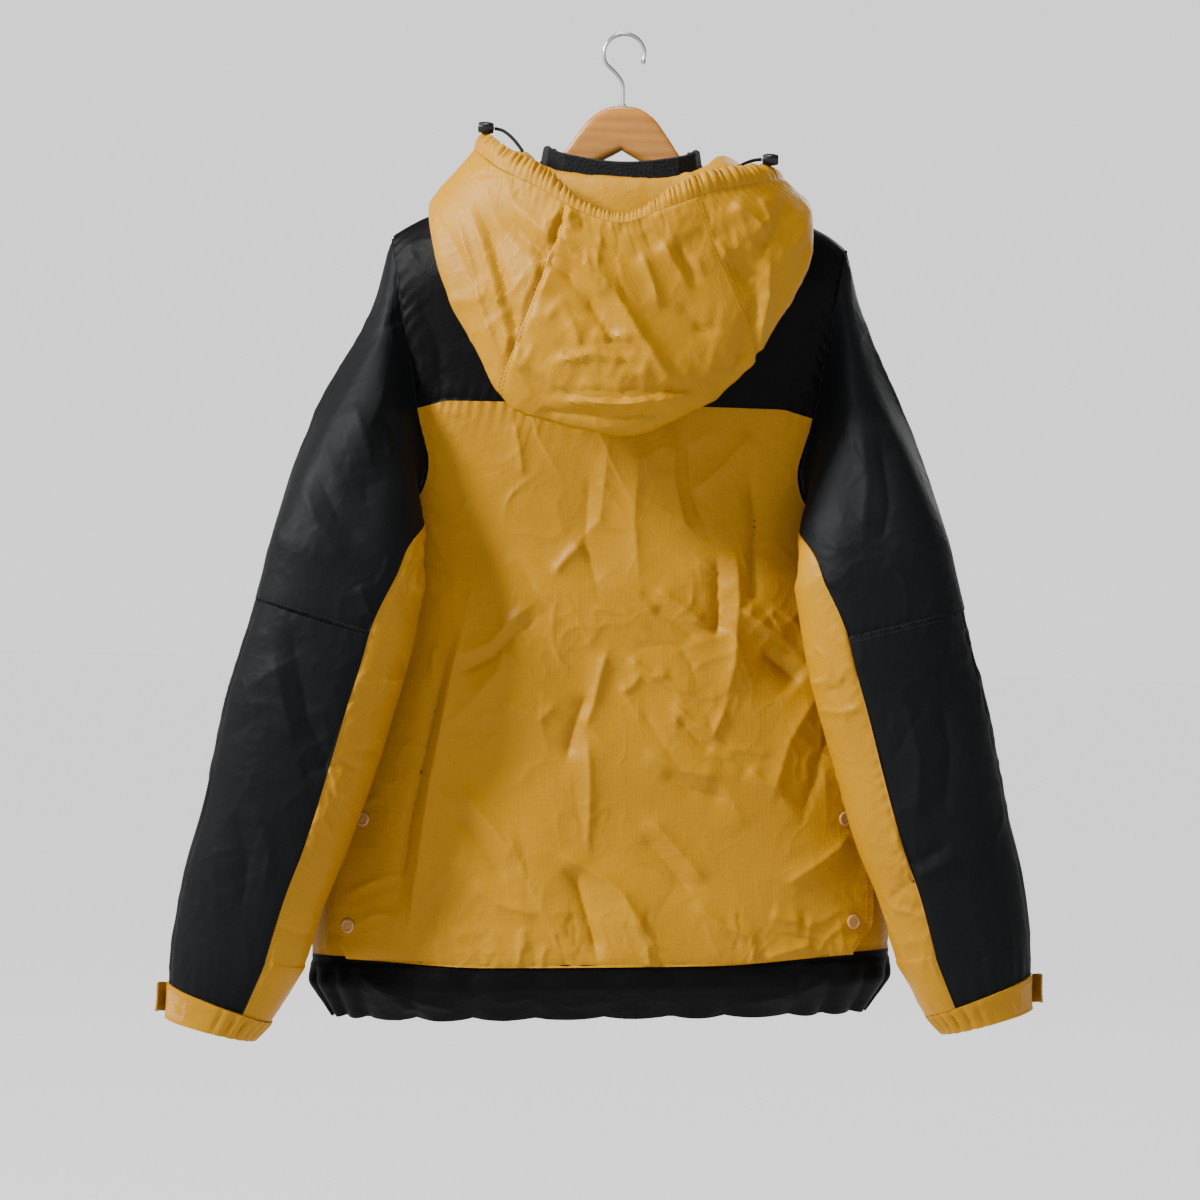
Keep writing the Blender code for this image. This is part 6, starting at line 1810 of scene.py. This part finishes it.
LOCK_OUTLINE = [(0.0, -0.0070), (0.0030, -0.0070), (0.0041, -0.0066), (0.0046, -0.0058), (0.0048, -0.0040),
                (0.0052, -0.0034), (0.0052, 0.0034), (0.0048, 0.0040), (0.0046, 0.0058), (0.0041, 0.0066),
                (0.0030, 0.0070), (0.0019, 0.0071), (0.0016, 0.0066), (0.0, 0.0066)]


def make_hood_cords():
    for word, centre, knots in LOCKS:
        heading = unit(vec(*knots[0]) - vec(*centre))
        lock = turned_piece(f"lock_{word}", LOCK_OUTLINE, centre, heading, PLASTIC,
                            (f"cord_lock_{word}",), 32)
        start = vec(*centre) + heading * (LOCK_HALF + 3 * SEAM_GAP)
        route = smooth_route((tuple(start),) + knots[1:], 40)
        cord = curve_tube(f"drawcord_{word}", route, CORD_RADIUS, CORD, (f"hood_cord_{word}",))


def make_zip_teeth():
    """Moulded teeth in two rows that close on each other, on the chain's line."""
    levels = np.arange(-0.1405, -0.8735, -0.00245)
    line = np.array([zip_line(z) for z in np.linspace(-0.136, -0.878, 120)])
    verts, quads = [], []
    for k, z in enumerate(levels):
        centre = np.array([np.interp(-z, -line[:, 2], line[:, axis]) for axis in range(3)])
        side = 1 if k % 2 else -1
        middle = hang(vec(0, centre[1], z))
        for low_x, high_x, half_z in ((-0.0004, 0.0029, 0.00075),):
            base = len(verts)
            for y in (-0.0006, 0.0010):
                inset = 0.00018 if y < 0 else 0.0
                for x, dz in ((low_x + inset, -half_z + inset), (high_x - inset, -half_z * 0.7 + inset),
                              (high_x - inset, half_z * 0.7 - inset), (low_x + inset, half_z - inset)):
                    verts.append(middle + vec(side * x, y, dz))
            sides = [(a, a + 4, (a + 1) % 4 + 4, (a + 1) % 4) for a in range(4)]
            faces = [(0, 1, 2, 3), (7, 6, 5, 4)] + sides
            for face in faces:
                face = face if side > 0 else face[::-1]
                quads.append(tuple(base + v for v in face))
    finish_piece("zip_teeth", mesh_from("zip_teeth", verts, quads), TEETH, replaced=("zip_chain",))


def make_hook():
    radius = HOOK_RADIUS + HOOK_WIRE
    turns = [vec(-radius * math.cos(math.radians(a)), 0, -HOOK_RADIUS + radius * math.sin(math.radians(a)))
             for a in np.linspace(-20, 211, 60)]
    end = turns[-1]
    stem = [(end[0], 0, end[2]), (0.006, 0, -0.0350), (0.001, 0, -0.0430)]
    stem += [(0.0, 0, -0.0520), (0.0, 0, -0.0632)]
    curve_tube("hook_wire", turns + smooth_route(stem, 24)[1:], HOOK_WIRE, STEEL, ("hanger_hook",))
    tip = turns[0]
    knob = [(0.0, -0.0024), (0.0021, -0.0018), (0.0027, 0.0), (0.0021, 0.0018), (0.0, 0.0024)]
    turned_piece("hook_tip", knob, tip, turns[0] - turns[1], STEEL)
    ferrule = [(0.0, 0.0), (0.0042, 0.0), (0.0042, 0.0012), (0.0030, 0.0024), (0.0020, 0.0024), (0.0, 0.0024)]
    turned_piece("hook_ferrule", ferrule, (0, 0, -0.0640), (0, 0, 1), STEEL)


def make_hanger():
    """The shaped wooden arms with rounded edges."""
    xs = np.linspace(-0.188, 0.188, 161)
    rows = []
    for turn in np.linspace(0, 2 * math.pi, 33):
        row = []
        for x in xs:
            top, low = profile(WOOD_TOP, abs(x)), profile(WOOD_LOW, abs(x))
            half = WOOD_T / 2 * (1 if abs(x) < 0.180 else 0.8 + 0.2 * (0.188 - abs(x)) / 0.008)
            c, s = math.cos(turn), math.sin(turn)
            r = (abs(c) ** 5 + abs(s) ** 5) ** (-1 / 5)
            row.append(vec(x, half * c * r, (top + low) / 2 + (top - low) / 2 * s * r))
        rows.append(row)
    grid = np.array(rows)
    count, cols = grid.shape[0] - 1, grid.shape[1]
    verts = list(grid[:-1].reshape(-1, 3))
    quads = []
    for k in range(count):
        m = (k + 1) % count
        for j in range(cols - 1):
            quads.append((k * cols + j, k * cols + j + 1, m * cols + j + 1, m * cols + j))
    for column, flip in ((0, False), (cols - 1, True)):
        for k in range(count // 2 - 1):
            a = (k, k + 1, count - 2 - k, count - 1 - k)
            quad = tuple(v * cols + column for v in a)
            quads.append(quad if flip else quad[::-1])
    mesh = mesh_from("arms", verts, quads)
    face_outward(mesh)
    finish_piece("wooden_arms", mesh, WOOD, replaced=("hanger_wood",), sharp=40)


# ---- everything --------------------------------------------------------------------------------------------
make_hood_cords()
make_hook()
make_hanger()
make_yokes()
BACK_CLOTH = make_back()
make_front_cloth()
make_hem_cloth()
make_sleeves()
make_cuffs()
make_collar_cloth()
make_hood()
make_rim_cloth()
make_snaps(BACK_CLOTH)
make_zip_teeth()
make_stitches("stitches_yellow", STITCH_LINES["yellow"], THREAD_YELLOW)
make_stitches("stitches_black", STITCH_LINES["black"], THREAD_BLACK)
make_stitches("stitches_grey", STITCH_LINES["grey"], THREAD_GREY)

KEPT = {"zip_slider": STEEL, "zip_pull": STEEL, "zip_tape_left": TAPE, "zip_tape_right": TAPE}
for node, mat in KEPT.items():
    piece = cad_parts[node]
    piece.data.materials.clear()
    piece.data.materials.append(mat)

# ---- stage -------------------------------------------------------------------------------------------------
SKY = 1.35
HORIZON = ((0.0, 1.0), (1.0, 0.12), (0.22, 0.95), (0.36, 0.20))
FLOOR_GLOW = 1.20
LIGHTS = (  # name, place, aim, size, watts
    ("key", (2.3, 1.1, 1.2), (0, 0, -0.45), 0.45, 270),
    ("fill", (-1.9, 2.2, 0.0), (0, 0, -0.5), 1.6, 6),
    ("top", (0.3, 0.6, 2.0), (0, 0, -0.4), 0.8, 50),
    ("front", (-1.2, -2.4, 0.8), (0, 0, -0.45), 1.6, 40),
)


def make_light(name, place, aim, size, power):
    data = bpy.data.lights.new(name, "AREA")
    data.size = size
    data.energy = power
    light = bpy.data.objects.new(name, data)
    bpy.context.scene.collection.objects.link(light)
    way = Vector(aim) - Vector(place)
    light.matrix_world = Matrix.Translation(place) @ way.to_track_quat("-Z", "Y").to_matrix().to_4x4()


def make_stage():
    floor_mesh = bpy.data.meshes.new("floor")
    reach, level = 30.0, -1.25
    floor_mesh.from_pydata([(-reach, -reach, level), (reach, -reach, level), (reach, reach, level),
                            (-reach, reach, level)], [], [(0, 1, 2, 3)])
    floor = bpy.data.objects.new("floor", floor_mesh)
    bpy.context.scene.collection.objects.link(floor)
    mat, _, shader = nodes_of("pale_floor", 0.9, 0.0, (0.12, 0.12, 0.12))
    shader.inputs["Emission Color"].default_value = (1, 1, 1, 1)
    shader.inputs["Emission Strength"].default_value = FLOOR_GLOW
    floor_mesh.materials.append(mat)
    world = bpy.data.worlds.new("studio")
    bpy.context.scene.world = world
    world.use_nodes = True
    tree = world.node_tree
    where = tree.nodes.new("ShaderNodeTexCoord")
    split = tree.nodes.new("ShaderNodeSeparateXYZ")
    tree.links.new(where.outputs["Generated"], split.inputs[0])
    ramp = tree.nodes.new("ShaderNodeValToRGB")
    tree.links.new(math_node(tree, "ABSOLUTE", split.outputs[2]), ramp.inputs[0])
    for k, (place, level) in enumerate(HORIZON):
        spot = ramp.color_ramp.elements[k] if k < 2 else ramp.color_ramp.elements.new(place)
        spot.position = place
        spot.color = (level, level, level, 1)
    tree.links.new(ramp.outputs[0], tree.nodes["Background"].inputs["Color"])
    tree.nodes["Background"].inputs["Strength"].default_value = SKY
    for light in LIGHTS:
        make_light(*light)


make_stage()
